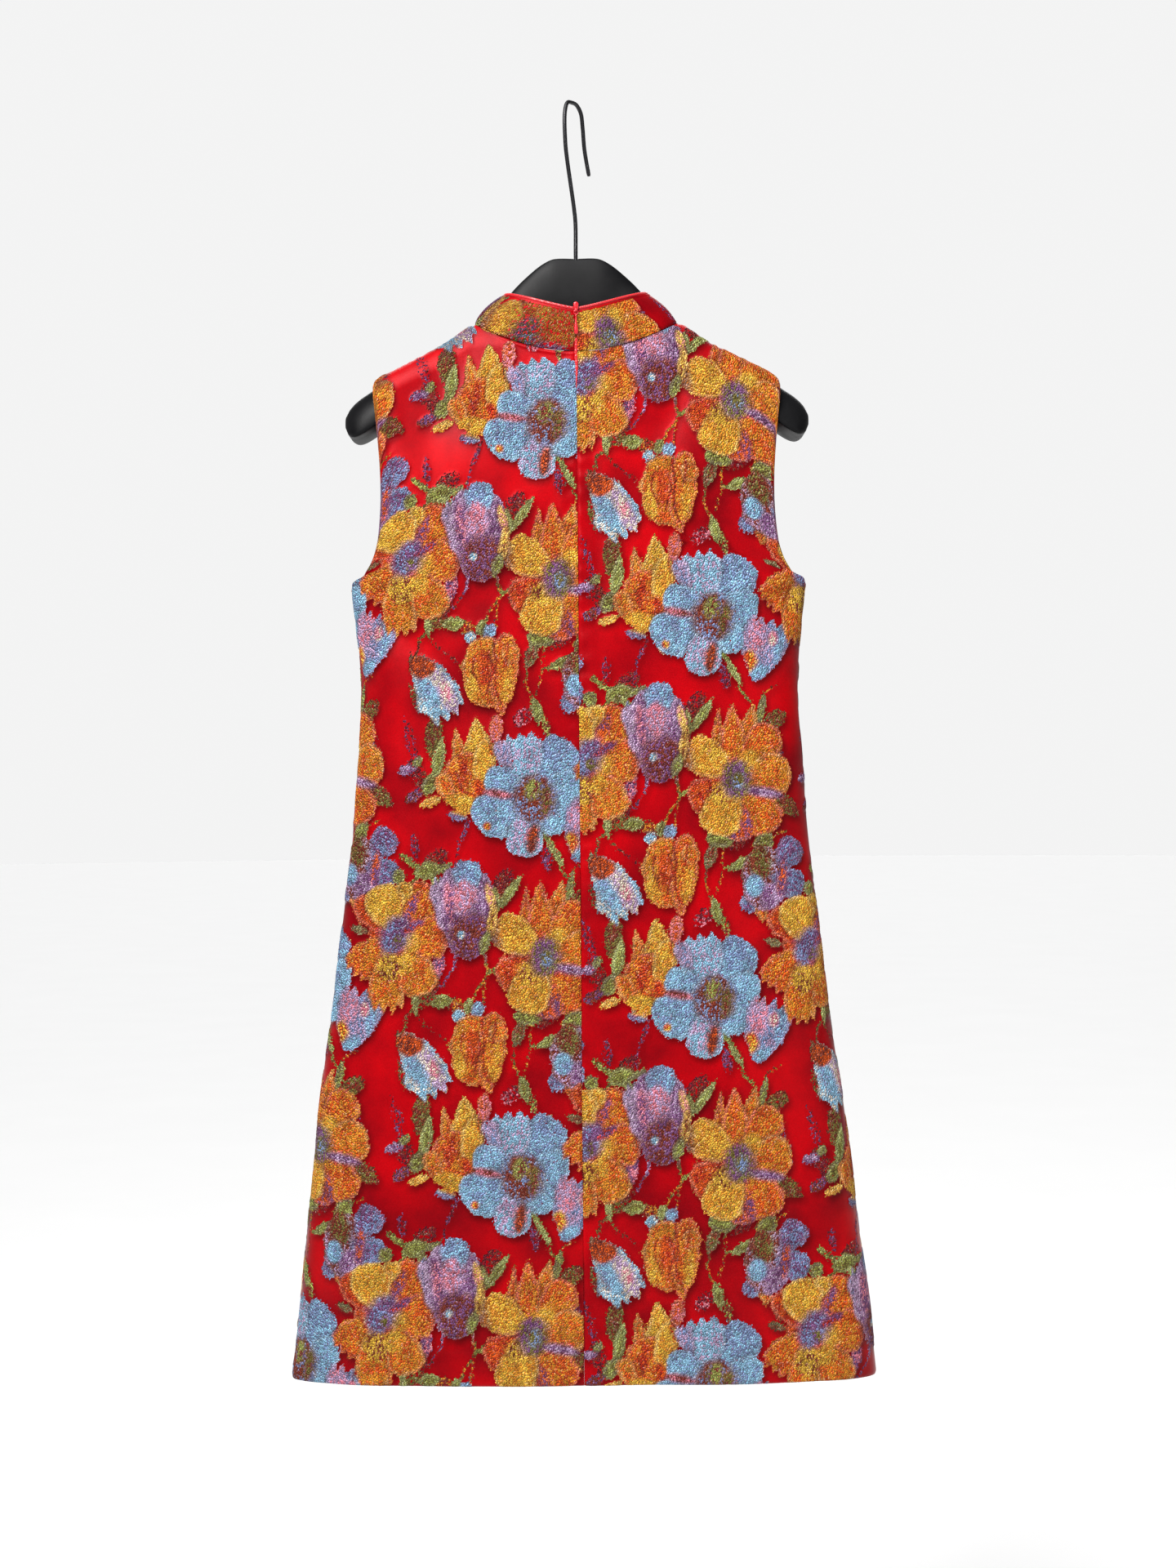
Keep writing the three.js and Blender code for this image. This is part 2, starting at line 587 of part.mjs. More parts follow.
const pull = meshOf("zip_pull", pullGeometry(), RED_ENAMEL);
pull.position.set(0, PULL_AXIS.y, PULL_AXIS.z);
dress.add(pull);

const group = new THREE.Group();
group.add(dress);
group.add(meshOf("hanger", hangerGeometry(), BLACK_PLASTIC));
group.add(meshOf("hook", hookGeometry(), BLACK_WIRE));

export default group;
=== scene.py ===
"""Looks of a sleeveless cheongsam dress on a broad-shouldered hanger: red flowered brocade, a mandarin collar
with a rolled edge, a concealed centre-back zip, and a wire hook that swivels. Tables are in millimetres in
the part's frame, whose origin is the seat of the hook; meshes are made in metres. The dress's back faces
-Y."""

import math

import bpy
import numpy as np
from bpy.props import FloatProperty, FloatVectorProperty, PointerProperty
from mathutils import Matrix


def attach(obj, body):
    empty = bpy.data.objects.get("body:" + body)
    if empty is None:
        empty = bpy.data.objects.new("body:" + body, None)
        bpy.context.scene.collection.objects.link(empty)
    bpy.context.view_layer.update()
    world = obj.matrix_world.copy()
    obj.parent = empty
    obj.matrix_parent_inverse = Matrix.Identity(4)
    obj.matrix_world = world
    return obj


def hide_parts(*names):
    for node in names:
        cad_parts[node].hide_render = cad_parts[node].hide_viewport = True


bl_info = {
    "name": "Cheongsam Dress",
    "version": (1, 0, 0),
    "blender": (4, 5, 0),
    "location": "3D View > Sidebar > Cheongsam",
    "description": "Makes a brocade cheongsam dress on its hanger around the packed frame",
    "category": "Add Mesh",
}

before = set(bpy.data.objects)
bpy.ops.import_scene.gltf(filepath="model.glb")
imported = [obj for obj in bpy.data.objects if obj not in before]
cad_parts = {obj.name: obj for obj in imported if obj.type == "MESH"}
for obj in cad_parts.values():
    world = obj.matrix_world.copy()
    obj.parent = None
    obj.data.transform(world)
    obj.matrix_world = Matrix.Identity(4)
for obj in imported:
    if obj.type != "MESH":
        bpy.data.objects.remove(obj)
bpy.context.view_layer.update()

MM = 0.001

# ---------------------------------------------------------------- the garment's sizes, in millimetres
HEM_Z = -1087.0
UNDERARM_Z = -415.0
NECK_X, NECK_Z = 87.0, -188.0
TIP_X, TIP_Z = 174.0, -238.5
NECK_BACK_Z, NECK_FRONT_Z = -216.0, -252.0
HALF_GAP = 0.15
SEAM_SLIT = 0.03
SQUARENESS = 3.0
SHOULDER_ROUND = 24.0
SHOULDER_BLEND = 140.0
NECK_COLUMNS, ALL_COLUMNS = 8.0, 15.0
# Where the cloth's map begins, so that it stays above zero: across the panels, across the collar, and up
PANEL_MAP_START, COLLAR_MAP_START, MAP_START_UP = 300, 10, 1100
SIDE_HEIGHT = TIP_Z - HEM_Z
# Width that a half panel's thin edge cells are shared out over, and a length past every edge's reach
HALF_PANEL_WIDTH, FAR = 235.0, 99.0

# Cells across and up the cloth's outer faces, and how many of them one cell of the inner face spans
BACK_CELLS, FRONT_CELLS, COLLAR_CELLS, INNER_STEP = (152, 552), (196, 440), (400, 36), 4

# z, half width, half depth of the body's level sections
BODY_SECTIONS = np.array([
    (-1087, 250.5, 43), (-890, 228, 42), (-722, 205.5, 40), (-582, 191, 38.5), (-505, 187, 37.5),
    (-450, 190, 37.5), (-415, 193.5, 38), (-345, 200, 38), (-188, 206, 38),
], float)

# z, distance from the centre of the armhole's edge
ARMHOLE_EDGE = np.array([
    (-415, 193.5), (-411, 187.5), (-402, 181), (-390, 174), (-375, 169.7), (-347, 167), (-320, 166.8),
    (-292, 168.5), (-265, 171), (-238.5, 174),
], float)

# x, z, half depth of the cloth over the shoulder
SHOULDER_LINE = np.array([
    (0, -188, 29.5), (60, -188, 24), (87, -188, 21), (94, -190.4, 21), (103, -197, 21.7),
    (113, -203.6, 22.6), (128, -211.4, 24.4), (155, -225.4, 27.8), (168, -232.6, 29.2), (174, -238.5, 29.6),
], float)

# Collar: half width, depths at the back and the front and heights of its top edge, its curves and its bulge
COLLAR_HALF_WIDTH, COLLAR_BACK_DEPTH, COLLAR_FRONT_DEPTH = 62.0, 31.0, 34.0
COLLAR_SIDE_Z, COLLAR_BACK_Z, COLLAR_FRONT_Z = -162.0, -181.0, -217.0
COLLAR_BACK_POWER, COLLAR_FRONT_POWER, COLLAR_BULGE = 1.3, 1.9, 2.2
COLLAR_FOOT_GAP = 0.35
# How deep the rolled edge sits on the collar's top, and its radius
PIPING_SUNK, PIPING_RADIUS = 0.5, 1.3
# Where along the collar its left end turns to painted shade, with its threads darkened and its figure thinned
COLLAR_PAINTED_SHADE_END = (383, 402)

# Heights between which the zip's puckers fade out below
ZIP_FADE = (-760, -700)

# Zip: the pull's axis, the slider's plate, and the heights of the lip that shows below the collar
PULL_AXIS_Y, PULL_AXIS_Z = -34.5, -182.8
SLIDER_TOP_Z, SLIDER_BOTTOM_Z = -175.0, -186.0
SLIDER_BACK_Y, SLIDER_FRONT_Y = -32.0, -33.7
TAPE_HALF_WIDTH, TAPE_TOP_Z, TAPE_BOTTOM_Z, TAPE_SET_IN, TAPE_CLOTH = 10.5, -181.0, -699.0, 2.6, 1.0
TAPE_COLUMNS, TAPE_ROWS = 29, 701
ZIP_LIP_TOP_Z, ZIP_LIP_BOTTOM_Z = -205.0, -248.0

# Hanger: x, top, bottom, half thickness of its sections
HANGER_SECTIONS = np.array([
    (0, -131, -179, 8), (18, -131, -179.5, 8), (26, -134, -180, 8), (36, -141, -182, 8), (53, -157, -188, 8),
    (70, -178, -200, 7.5), (80, -188.5, -209, 7.5), (87, -192.4, -215, 9.5), (103, -201, -226, 15.5),
    (128, -214.4, -245, 21), (155, -228.6, -265, 25), (174, -243, -279, 26.6), (187, -252, -286, 24.5),
    (194, -259, -284, 18), (198, -266, -276, 8),
], float)
# Between these the hanger's columns are even; past them they crowd to the ends
HANGER_EVEN_X = 190
STEM_BORE_RADIUS, STEM_BORE_BOTTOM = 2.25, -154.0

# Hook: distance along its turned plane and height of its bends
HOOK_BENDS = np.array([
    (0, -152), (0, -126), (0, -101), (-2, -90), (-14.5, -48), (-17, -36), (-17.5, -10), (-13, -0.5),
    (-5, 1.75), (4, 1.75), (11.5, -3.5), (14.5, -15), (17.5, -33), (25.5, -54),
], float)
HOOK_TURN = math.radians(62)
WIRE_RADIUS = 1.75

# ---------------------------------------------------------------- the brocade's repeat
# Threads of the figure, as sRGB
THREADS = {
    "yellow": (244, 194, 66), "gold": (230, 150, 42), "orange": (226, 92, 24), "rust": (190, 44, 16),
    "brown": (128, 56, 36), "sky": (142, 204, 236), "steel": (124, 156, 202), "violet": (122, 84, 134),
    "lilac": (196, 168, 208), "pink": (240, 140, 160), "olive": (116, 118, 54), "leaf": (160, 176, 86),
    "cream": (238, 226, 206), "plum": (112, 26, 44),
}

# How a stroke's width runs from its base to its tip: the powers at the base and at the tip, and its teeth
OUTLINES = {
    "oval": (0.5, 0.5, 0.0), "petal": (0.8, 0.42, 0.0), "leaf": (1.0, 1.0, 0.0), "spike": (0.2, 0.85, 0.0),
    "fringe": (0.7, 0.3, 0.3), "cup": (0.5, 0.36, 0.0),
}

# Strokes of the repeat, painted in order, measured from the middle of the rosebud:
# x, z, turn from upright (degrees, clockwise), length, width, outline, two threads, share of the second,
# cover (1 is solid), softness of the edge (over 1.2 it only tints what is already there)
STROKES = (
    # violet and plum shadows that lie under the leaves
    (-69, -58, -15, 44, 8, "leaf", "violet", "plum", 0.5, 0.35, 1.0),
    (-61, -88, -30, 34, 14, "oval", "plum", "brown", 0.5, 0.55, 1.0),
    (93, 100, -10, 28, 8, "leaf", "violet", "plum", 0.5, 0.45, 1.0),
    (27, -38, 50, 20, 13, "oval", "plum", "pink", 0.4, 0.5, 1.0),
    (46, -158, 170, 22, 9, "leaf", "plum", "violet", 0.5, 0.6, 1.0),
    (21, 140, 35, 28, 15, "oval", "plum", "brown", 0.5, 0.6, 1.0),
    (-35, 161, 60, 22, 14, "oval", "plum", "brown", 0.5, 0.6, 1.0),
    (-53, 171, -5, 24, 7, "leaf", "violet", "plum", 0.5, 0.5, 1.0),
    (-38, 54, 20, 24, 9, "oval", "plum", "brown", 0.5, 0.5, 1.0),
    (58, 25, 60, 22, 10, "oval", "plum", "brown", 0.5, 0.5, 1.0),
    (-44, 43, 60, 18, 12, "oval", "brown", "olive", 0.6, 0.65, 1.0),
    (-19, 38, 100, 15, 12, "oval", "gold", "brown", 0.6, 0.55, 1.0),
    (90, 129, 60, 21, 15, "oval", "brown", "olive", 0.5, 0.8, 0.8),
    (46, -46, 170, 22, 6, "leaf", "brown", "leaf", 0.5, 0.7, 0.8),
    # leaves
    (38, -33, -12, 25, 9, "leaf", "leaf", "olive", 0.35, 1, 0.8),
    (-53, 40, -4, 22, 6, "leaf", "leaf", "olive", 0.3, 1, 0.8),
    (-31, 41, 80, 20, 12, "leaf", "leaf", "olive", 0.4, 1, 0.8),
    (27, 132, 35, 38, 8, "leaf", "leaf", "olive", 0.35, 1, 0.8),
    (15, 126, -4, 23, 8, "leaf", "leaf", "olive", 0.4, 1, 0.8),
    (78, 136, 12, 31, 7, "leaf", "olive", "leaf", 0.4, 1, 0.8),
    (99, 56, 125, 31, 14, "leaf", "brown", "olive", 0.5, 0.9, 0.8),
    (53, -153, 150, 28, 6, "leaf", "leaf", "olive", 0.3, 1, 0.8),
    (-42, 151, 75, 25, 16, "leaf", "leaf", "olive", 0.5, 1, 0.8),
    (-28, 153, 60, 18, 6, "leaf", "olive", "leaf", 0.4, 1, 0.8),
    (-36, 143, 140, 17, 7, "leaf", "leaf", "olive", 0.4, 1, 0.8),
    (-49, -52, 8, 40, 15, "leaf", "brown", "olive", 0.5, 0.92, 0.8),
    (-45, -74, 10, 42, 10, "leaf", "leaf", "olive", 0.3, 1, 0.8),
    (-52, -94, 30, 19, 12, "oval", "olive", "leaf", 0.4, 1, 0.8),
    (-72, -82, 80, 16, 8, "oval", "lilac", "violet", 0.5, 0.85, 0.8),
    (-63, -75, 40, 10, 7, "oval", "olive", "leaf", 0.4, 1, 0.8),
    (-66, -104, 60, 17, 9, "oval", "violet", "brown", 0.5, 0.8, 0.8),
    (-52, -109, 70, 19, 7, "oval", "yellow", "gold", 0.4, 1, 0.8),
    # gold flower on the left, with a long fringe below
    (-102, 101, 110, 18, 7, "leaf", "olive", "brown", 0.5, 1, 0.8),
    (-33, 72, 8, 29, 10, "leaf", "violet", "pink", 0.4, 0.75, 0.8),
    (-67, 146, 0, 13, 12, "oval", "olive", "leaf", 0.5, 1, 0.8),
    (-68, 92, 0, 60, 54, "oval", "orange", "rust", 0.35, 1, 0.8),
    (-94, 78, 215, 42, 32, "fringe", "orange", "gold", 0.45, 1, 0.8),
    (-78, 58, 182, 56, 32, "fringe", "gold", "orange", 0.4, 1, 0.8),
    (-53, 66, 165, 42, 33, "petal", "gold", "orange", 0.45, 1, 0.8),
    (-91, 114, -35, 38, 25, "petal", "orange", "rust", 0.45, 1, 0.8),
    (-50, 120, 30, 44, 34, "petal", "orange", "gold", 0.4, 1, 0.8),
    (-35, 85, 60, 13, 9, "leaf", "gold", "yellow", 0.4, 1, 0.8),
    (-45, 95, 95, 40, 36, "petal", "orange", "gold", 0.5, 1, 0.8),
    (-62, 132, 10, 19, 15, "petal", "yellow", "gold", 0.4, 1, 0.8),
    (-78, 119, -15, 42, 35, "petal", "yellow", "gold", 0.4, 1, 0.8),
    (-57, 118, 22, 30, 8, "oval", "violet", "orange", 0.5, 1, 3.0),
    (-56, 91, 0, 18, 16, "oval", "yellow", "gold", 0.4, 1, 4.0),
    (-60, 74, 0, 18, 14, "oval", "yellow", "gold", 0.4, 1, 4.0),
    (-75, 70, 0, 26, 22, "oval", "yellow", "brown", 0.3, 1, 5.0),
    (-70, 97, 30, 34, 24, "oval", "violet", "steel", 0.4, 1, 6.0),
    (-55, 104, 60, 22, 7, "oval", "violet", "rust", 0.4, 1, 2.5),
    (-67, 91, 0, 11, 9, "oval", "olive", "violet", 0.5, 1, 2.0),
    # gold flower on the right, with three spikes on top
    (34, 14, 200, 25, 11, "leaf", "olive", "brown", 0.5, 1, 0.8),
    (42, 28, 95, 24, 14, "oval", "olive", "leaf", 0.45, 1, 0.8),
    (57, 82, 0, 66, 60, "oval", "orange", "rust", 0.35, 1, 0.8),
    (40, 112, 4, 54, 13, "spike", "orange", "gold", 0.45, 1, 0.8),
    (66, 116, 12, 54, 22, "spike", "gold", "orange", 0.45, 1, 0.8),
    (53, 112, 0, 60, 28, "spike", "orange", "gold", 0.45, 1, 0.8),
    (59, 46, 180, 40, 28, "petal", "orange", "violet", 0.35, 1, 0.8),
    (75, 53, 150, 46, 34, "petal", "orange", "gold", 0.45, 1, 0.8),
    (75, 104, 35, 46, 31, "petal", "orange", "gold", 0.5, 1, 0.8),
    (80, 81, 85, 46, 36, "petal", "gold", "orange", 0.4, 1, 0.8),
    (35, 66, -112, 40, 33, "petal", "orange", "rust", 0.35, 1, 0.8),
    (33, 95, -58, 44, 34, "petal", "gold", "yellow", 0.5, 1, 0.8),
    (45, 53, -160, 46, 37, "petal", "yellow", "gold", 0.6, 1, 0.8),
    (66, 93, 40, 22, 16, "oval", "yellow", "gold", 0.4, 1, 4.0),
    (44, 66, -160, 20, 20, "oval", "yellow", "brown", 0.3, 1, 5.0),
    (79, 67, 100, 34, 8, "oval", "violet", "lilac", 0.4, 1, 2.5),
    (66, 40, 170, 24, 7, "oval", "violet", "orange", 0.45, 1, 3.0),
    (57, 78, 0, 34, 26, "oval", "violet", "olive", 0.45, 1, 6.0),
    (58, 77, 0, 15, 11, "oval", "olive", "steel", 0.4, 1, 3.0),
    # plum tulip
    (-29, 124, -8, 46, 20, "fringe", "lilac", "steel", 0.45, 1, 0.8),
    (-10, 116, -4, 80, 48, "cup", "lilac", "violet", 0.5, 1, 0.8),
    (-9, 144, 5, 32, 25, "petal", "steel", "sky", 0.4, 1, 0.8),
    (-11, 129, 0, 28, 20, "oval", "pink", "lilac", 0.45, 1, 4.0),
    (-24, 124, -6, 34, 8, "oval", "pink", "violet", 0.5, 1, 3.0),
    (-5, 93, -12, 46, 44, "oval", "brown", "violet", 0.45, 1, 9.0),
    (-14, 97, 0, 7, 6, "oval", "sky", "cream", 0.4, 1, 1.3),
    (11, 128, -14, 26, 7, "oval", "yellow", "pink", 0.5, 1, 0.8),
    (12, 108, 8, 30, 8, "oval", "yellow", "brown", 0.45, 1, 0.8),
    (6, 90, 18, 22, 9, "leaf", "olive", "leaf", 0.45, 1, 0.8),
    # yellow bud
    (-29, -121, 100, 17, 8, "oval", "steel", "violet", 0.5, 1, 0.8),
    (4, -48, 6, 24, 11, "oval", "orange", "pink", 0.4, 1, 0.8),
    (-28, -64, -8, 34, 13, "spike", "gold", "orange", 0.4, 1, 0.8),
    (-11, -60, -6, 44, 27, "spike", "yellow", "gold", 0.4, 1, 0.8),
    (-19, -93, 0, 52, 46, "oval", "orange", "gold", 0.55, 1, 0.8),
    (-6, -78, 2, 44, 19, "oval", "yellow", "gold", 0.45, 1, 0.8),
    (-38, -99, -20, 30, 15, "petal", "gold", "orange", 0.4, 1, 0.8),
    (-21, -112, 98, 38, 19, "oval", "yellow", "gold", 0.4, 1, 2.0),
    (-24, -86, 10, 26, 8, "oval", "rust", "orange", 0.4, 1, 3.5),
    (-10, -97, -20, 16, 9, "oval", "rust", "orange", 0.45, 1, 3.0),
    # blue flower
    (46, -62, 90, 13, 7, "oval", "olive", "pink", 0.5, 1, 0.8),
    (35, -104, 0, 58, 56, "oval", "steel", "brown", 0.4, 1, 0.8),
    (53, -75, 38, 40, 37, "petal", "steel", "sky", 0.4, 1, 0.8),
    (26, -73, -12, 44, 40, "fringe", "sky", "lilac", 0.3, 1, 0.8),
    (11, -71, -20, 30, 13, "fringe", "lilac", "steel", 0.5, 1, 0.8),
    (12, -93, -75, 36, 25, "petal", "sky", "steel", 0.4, 1, 0.8),
    (7, -116, -125, 48, 40, "petal", "sky", "steel", 0.45, 1, 0.8),
    (28, -135, -172, 42, 31, "petal", "sky", "lilac", 0.5, 1, 0.8),
    (58, -101, 100, 34, 38, "petal", "sky", "steel", 0.35, 1, 0.8),
    (50, -122, 135, 32, 26, "petal", "sky", "steel", 0.15, 1, 0.8),
    (6, -103, -80, 26, 7, "oval", "pink", "brown", 0.5, 1, 2.0),
    (34, -141, -170, 26, 11, "oval", "brown", "orange", 0.3, 1, 3.0),
    (36, -107, 0, 42, 36, "oval", "brown", "steel", 0.25, 1, 6.0),
    (35, -99, 20, 18, 12, "oval", "leaf", "brown", 0.4, 1, 3.5),
    (46, -110, 8, 26, 9, "oval", "olive", "brown", 0.45, 1, 3.5),
    (-4, -130, 0, 7, 7, "oval", "orange", "yellow", 0.4, 1, 1.3),
    # violet tulip
    (79, -134, 16, 56, 39, "fringe", "steel", "lilac", 0.45, 1, 0.8),
    (73, -121, 8, 32, 17, "oval", "lilac", "pink", 0.4, 1, 4.0),
    (92, -130, 8, 36, 11, "petal", "steel", "sky", 0.45, 1, 2.0),
    (66, -145, 12, 20, 14, "oval", "orange", "yellow", 0.4, 1, 3.0),
    (75, -154, 62, 20, 10, "oval", "sky", "steel", 0.3, 1, 2.5),
    (87, -125, 5, 13, 8, "oval", "pink", "cream", 0.4, 1, 2.0),
    # brown and blue bud
    (79, 23, 40, 25, 15, "leaf", "olive", "leaf", 0.45, 1, 0.8),
    (59, 7, 62, 24, 9, "leaf", "leaf", "olive", 0.4, 1, 0.8),
    (78, -35, 180, 15, 13, "spike", "gold", "orange", 0.5, 1, 0.8),
    (67, -24, 200, 24, 14, "fringe", "steel", "violet", 0.4, 1, 0.8),
    (80, -6, 0, 54, 40, "oval", "brown", "lilac", 0.4, 1, 0.8),
    (101, -9, 110, 32, 25, "petal", "steel", "violet", 0.45, 1, 0.8),
    (101, 14, 32, 30, 25, "petal", "violet", "steel", 0.45, 1, 0.8),
    (76, 8, -10, 30, 22, "oval", "brown", "olive", 0.5, 1, 4.0),
    (88, -23, 150, 28, 22, "oval", "lilac", "violet", 0.5, 1, 3.0),
    (95, -6, 8, 28, 8, "oval", "orange", "violet", 0.5, 1, 3.0),
    (71, -12, 0, 19, 16, "oval", "sky", "steel", 0.3, 1, 2.0),
    # small blue tulip
    (-66, 6, 170, 24, 7, "leaf", "olive", "brown", 0.5, 1, 0.8),
    (-65, -21, 165, 28, 6, "leaf", "brown", "olive", 0.5, 0.6, 0.8),
    (-48, -13, 153, 62, 38, "fringe", "sky", "cream", 0.35, 1, 0.8),
    (-39, -16, 152, 44, 15, "oval", "lilac", "cream", 0.4, 1, 3.0),
    (-53, -17, 150, 32, 14, "oval", "sky", "steel", 0.3, 1, 4.0),
    (-58, 6, 150, 22, 25, "oval", "orange", "brown", 0.5, 1, 2.5),
    (-38, -16, 160, 16, 8, "oval", "pink", "cream", 0.4, 1, 2.0),
    # rosebud
    (-8, 37, 15, 14, 8, "oval", "leaf", "olive", 0.5, 1, 0.8),
    (-16, 28, -40, 12, 10, "petal", "sky", "cream", 0.3, 1, 0.8),
    (-1, 33, 25, 15, 10, "petal", "steel", "sky", 0.45, 1, 0.8),
    (8, -30, 165, 14, 12, "spike", "orange", "gold", 0.4, 1, 0.8),
    (-4, 0, 0, 60, 42, "oval", "gold", "orange", 0.45, 1, 0.8),
    (11, 2, 5, 62, 25, "oval", "orange", "gold", 0.5, 1, 0.8),
    (17, 15, -30, 17, 15, "oval", "gold", "orange", 0.4, 1, 0.8),
    (-14, -9, 10, 34, 13, "oval", "yellow", "gold", 0.4, 1, 4.0),
    (-6, 3, 0, 30, 12, "oval", "orange", "rust", 0.3, 1, 3.0),
    (14, -10, 8, 30, 9, "oval", "gold", "yellow", 0.4, 1, 3.0),
)

# Stems, drawn before the strokes: x and z of both ends, width, two threads, share of the second, cover
STEMS = (
    (-64, 14, -61, 29, 1.7, "olive", "brown", 0.5, 0.8), (-61, 29, -55, 34, 1.7, "olive", "brown", 0.5, 0.8),
    (-53, 31, -44, 20, 1.6, "brown", "olive", 0.4, 0.6), (-44, 20, -28, 8, 1.4, "plum", "brown", 0.4, 0.5),
    (-47, 55, -30, 54, 1.8, "violet", "brown", 0.5, 0.6),
    (-30, 54, -21, 68, 1.8, "violet", "brown", 0.5, 0.6),
    (-21, 68, -19, 84, 2.2, "violet", "lilac", 0.4, 0.7),
    (6, 80, 9, 65, 1.9, "olive", "gold", 0.4, 0.9), (9, 65, -1, 51, 1.7, "olive", "gold", 0.5, 0.8),
    (-1, 51, -7, 39, 1.5, "olive", "gold", 0.5, 0.7), (7, 62, 4, 32, 1.4, "brown", "gold", 0.5, 0.6),
    (9, 65, 28, 78, 3.0, "leaf", "olive", 0.5, 0.9), (28, 78, 36, 79, 4.0, "olive", "brown", 0.5, 0.8),
    (30, 8, 29, -8, 1.5, "olive", "brown", 0.5, 0.7), (29, -8, 34, -22, 1.5, "olive", "gold", 0.5, 0.7),
    (45, 20, 44, 4, 1.3, "olive", "gold", 0.5, 0.6), (44, 4, 38, -18, 1.3, "brown", "gold", 0.5, 0.6),
    (70, 38, 74, 30, 1.8, "gold", "olive", 0.5, 0.8), (74, 30, 70, 22, 1.8, "olive", "gold", 0.5, 0.8),
    (80, 150, 93, 158, 1.5, "brown", "gold", 0.5, 0.5),
    (42, -136, 50, -146, 4.0, "leaf", "olive", 0.3, 1), (57, -166, 68, -178, 1.8, "olive", "leaf", 0.5, 0.8),
    (-57, 139, -49, 148, 2.4, "olive", "leaf", 0.4, 1), (-64, 164, -49, 153, 4.2, "olive", "leaf", 0.5, 0.95),
    (-20, -125, -27, -142, 3.4, "violet", "plum", 0.5, 0.5),
    (-27, -142, -31, -164, 2.0, "plum", "violet", 0.4, 0.4),
    (46, 3, 56, 4, 2.0, "leaf", "olive", 0.4, 0.9), (86, 28, 99, 34, 1.6, "olive", "gold", 0.5, 0.6),
)

# Fold lines, drawn after the strokes, in the stems' columns
FOLDS = (
    # folds of the rosebud
    (-13, 14, -15, 0, 1.7, "rust", "brown", 0.4, 1), (-15, 0, -9, -15, 1.7, "rust", "brown", 0.4, 1),
    (-2, 15, 2, 0, 1.7, "rust", "brown", 0.4, 1), (2, 0, -3, -17, 1.7, "rust", "brown", 0.3, 1),
    (3, 27, 5, 8, 1.9, "brown", "rust", 0.5, 1), (5, 8, 4, -14, 1.9, "brown", "rust", 0.5, 1),
    (4, -14, 9, -27, 1.7, "rust", "brown", 0.4, 1), (14, 24, 12, 6, 1.6, "rust", "brown", 0.3, 1),
    # folds of the yellow bud
    (-30, -84, -25, -100, 2.0, "rust", "brown", 0.4, 1),
    (-25, -100, -13, -104, 2.0, "rust", "orange", 0.4, 1),
    (-1, -58, 1, -70, 1.6, "brown", "orange", 0.5, 0.8),
)
# Pitch of the streaks that fan out along a stroke, and the outlines that show them most
STREAK = 4.8
STREAKED = ("petal", "spike", "fringe")
# A softness over this only tints what is already there
TINT_SOFTNESS = 1.2
REPEAT_ACROSS = 190.0
HALF_DROP = 0.5

# Where a rosebud lies on each piece, how far the cloth's pattern leans (mm across for each mm up), and the
# height of the repeat. across runs to the right as seen from outside.
PATTERN_LAY = {
    "back_right": {"across": 76.0, "up": -657.0, "lean": 0.004, "height": 322.0},
    "back_left": {"across": -74.0, "up": -648.0 + 161.0, "lean": 0.040, "height": 318.0},
    "front": {"across": 12.0, "up": -570.0, "lean": 0.0, "height": 320.0},
    "collar": {"across": -27.0, "up": -280.0, "lean": 0.0, "height": 320.0},
}

# Studio: how bright the world is as a light, and as seen behind the dress
WORLD_LIGHT, WORLD_SEEN = 0.15, 0.9
FLOOR_RADIUS, FLOOR_Z = 30000, -1650
# In metres, level but for a small roll
CAMERA_PLACE, CAMERA_ROLL = (0.007, -1.870, -0.582), math.radians(0.45)
# name, place, what it points at, width, height, power, colour
LAMPS = (
    ("key", (-0.8, -1.5, 0.95), (0.0, 0.0, -0.2), 1.0, 1.0, 40.0, (1.0, 0.98, 0.96)),
    ("fill", (1.6, -2.2, -0.2), (0.0, 0.0, -0.6), 1.6, 2.0, 5.0, (0.97, 0.98, 1.0)),
)
# name, strength, and how far it is tilted from overhead toward the back and the left
SUNS = (("sky", 2.6, 22, -12), ("behind", 0.9, -70, 4))

# Soft creases: across and up of both ends, width, height (below zero is a trough)
BACK_RIGHT_CREASES = (
    (186, -424, 118, -462, 13, -1.5), (180, -400, 128, -432, 10, 1.0), (188, -446, 140, -500, 16, 0.9),
    (168, -520, 178, -690, 22, 1.5), (150, -560, 158, -800, 18, -1.0), (182, -620, 206, -860, 20, -1.3),
    (120, -800, 140, -1080, 30, 1.6), (60, -860, 66, -1085, 26, -1.3), (206, -880, 236, -1085, 20, 1.7),
    (28, -700, 22, -1000, 22, 0.9), (96, -236, 62, -290, 14, -1.0), (120, -262, 100, -340, 18, 0.8),
    (160, -250, 150, -330, 12, -0.8), (14, -262, 44, -318, 12, 0.6), (90, -560, 60, -640, 26, -0.8),
    (176, -900, 190, -1086, 16, -1.4), (40, -430, 110, -470, 22, 0.7), (12, -300, 16, -470, 9, -0.6),
)
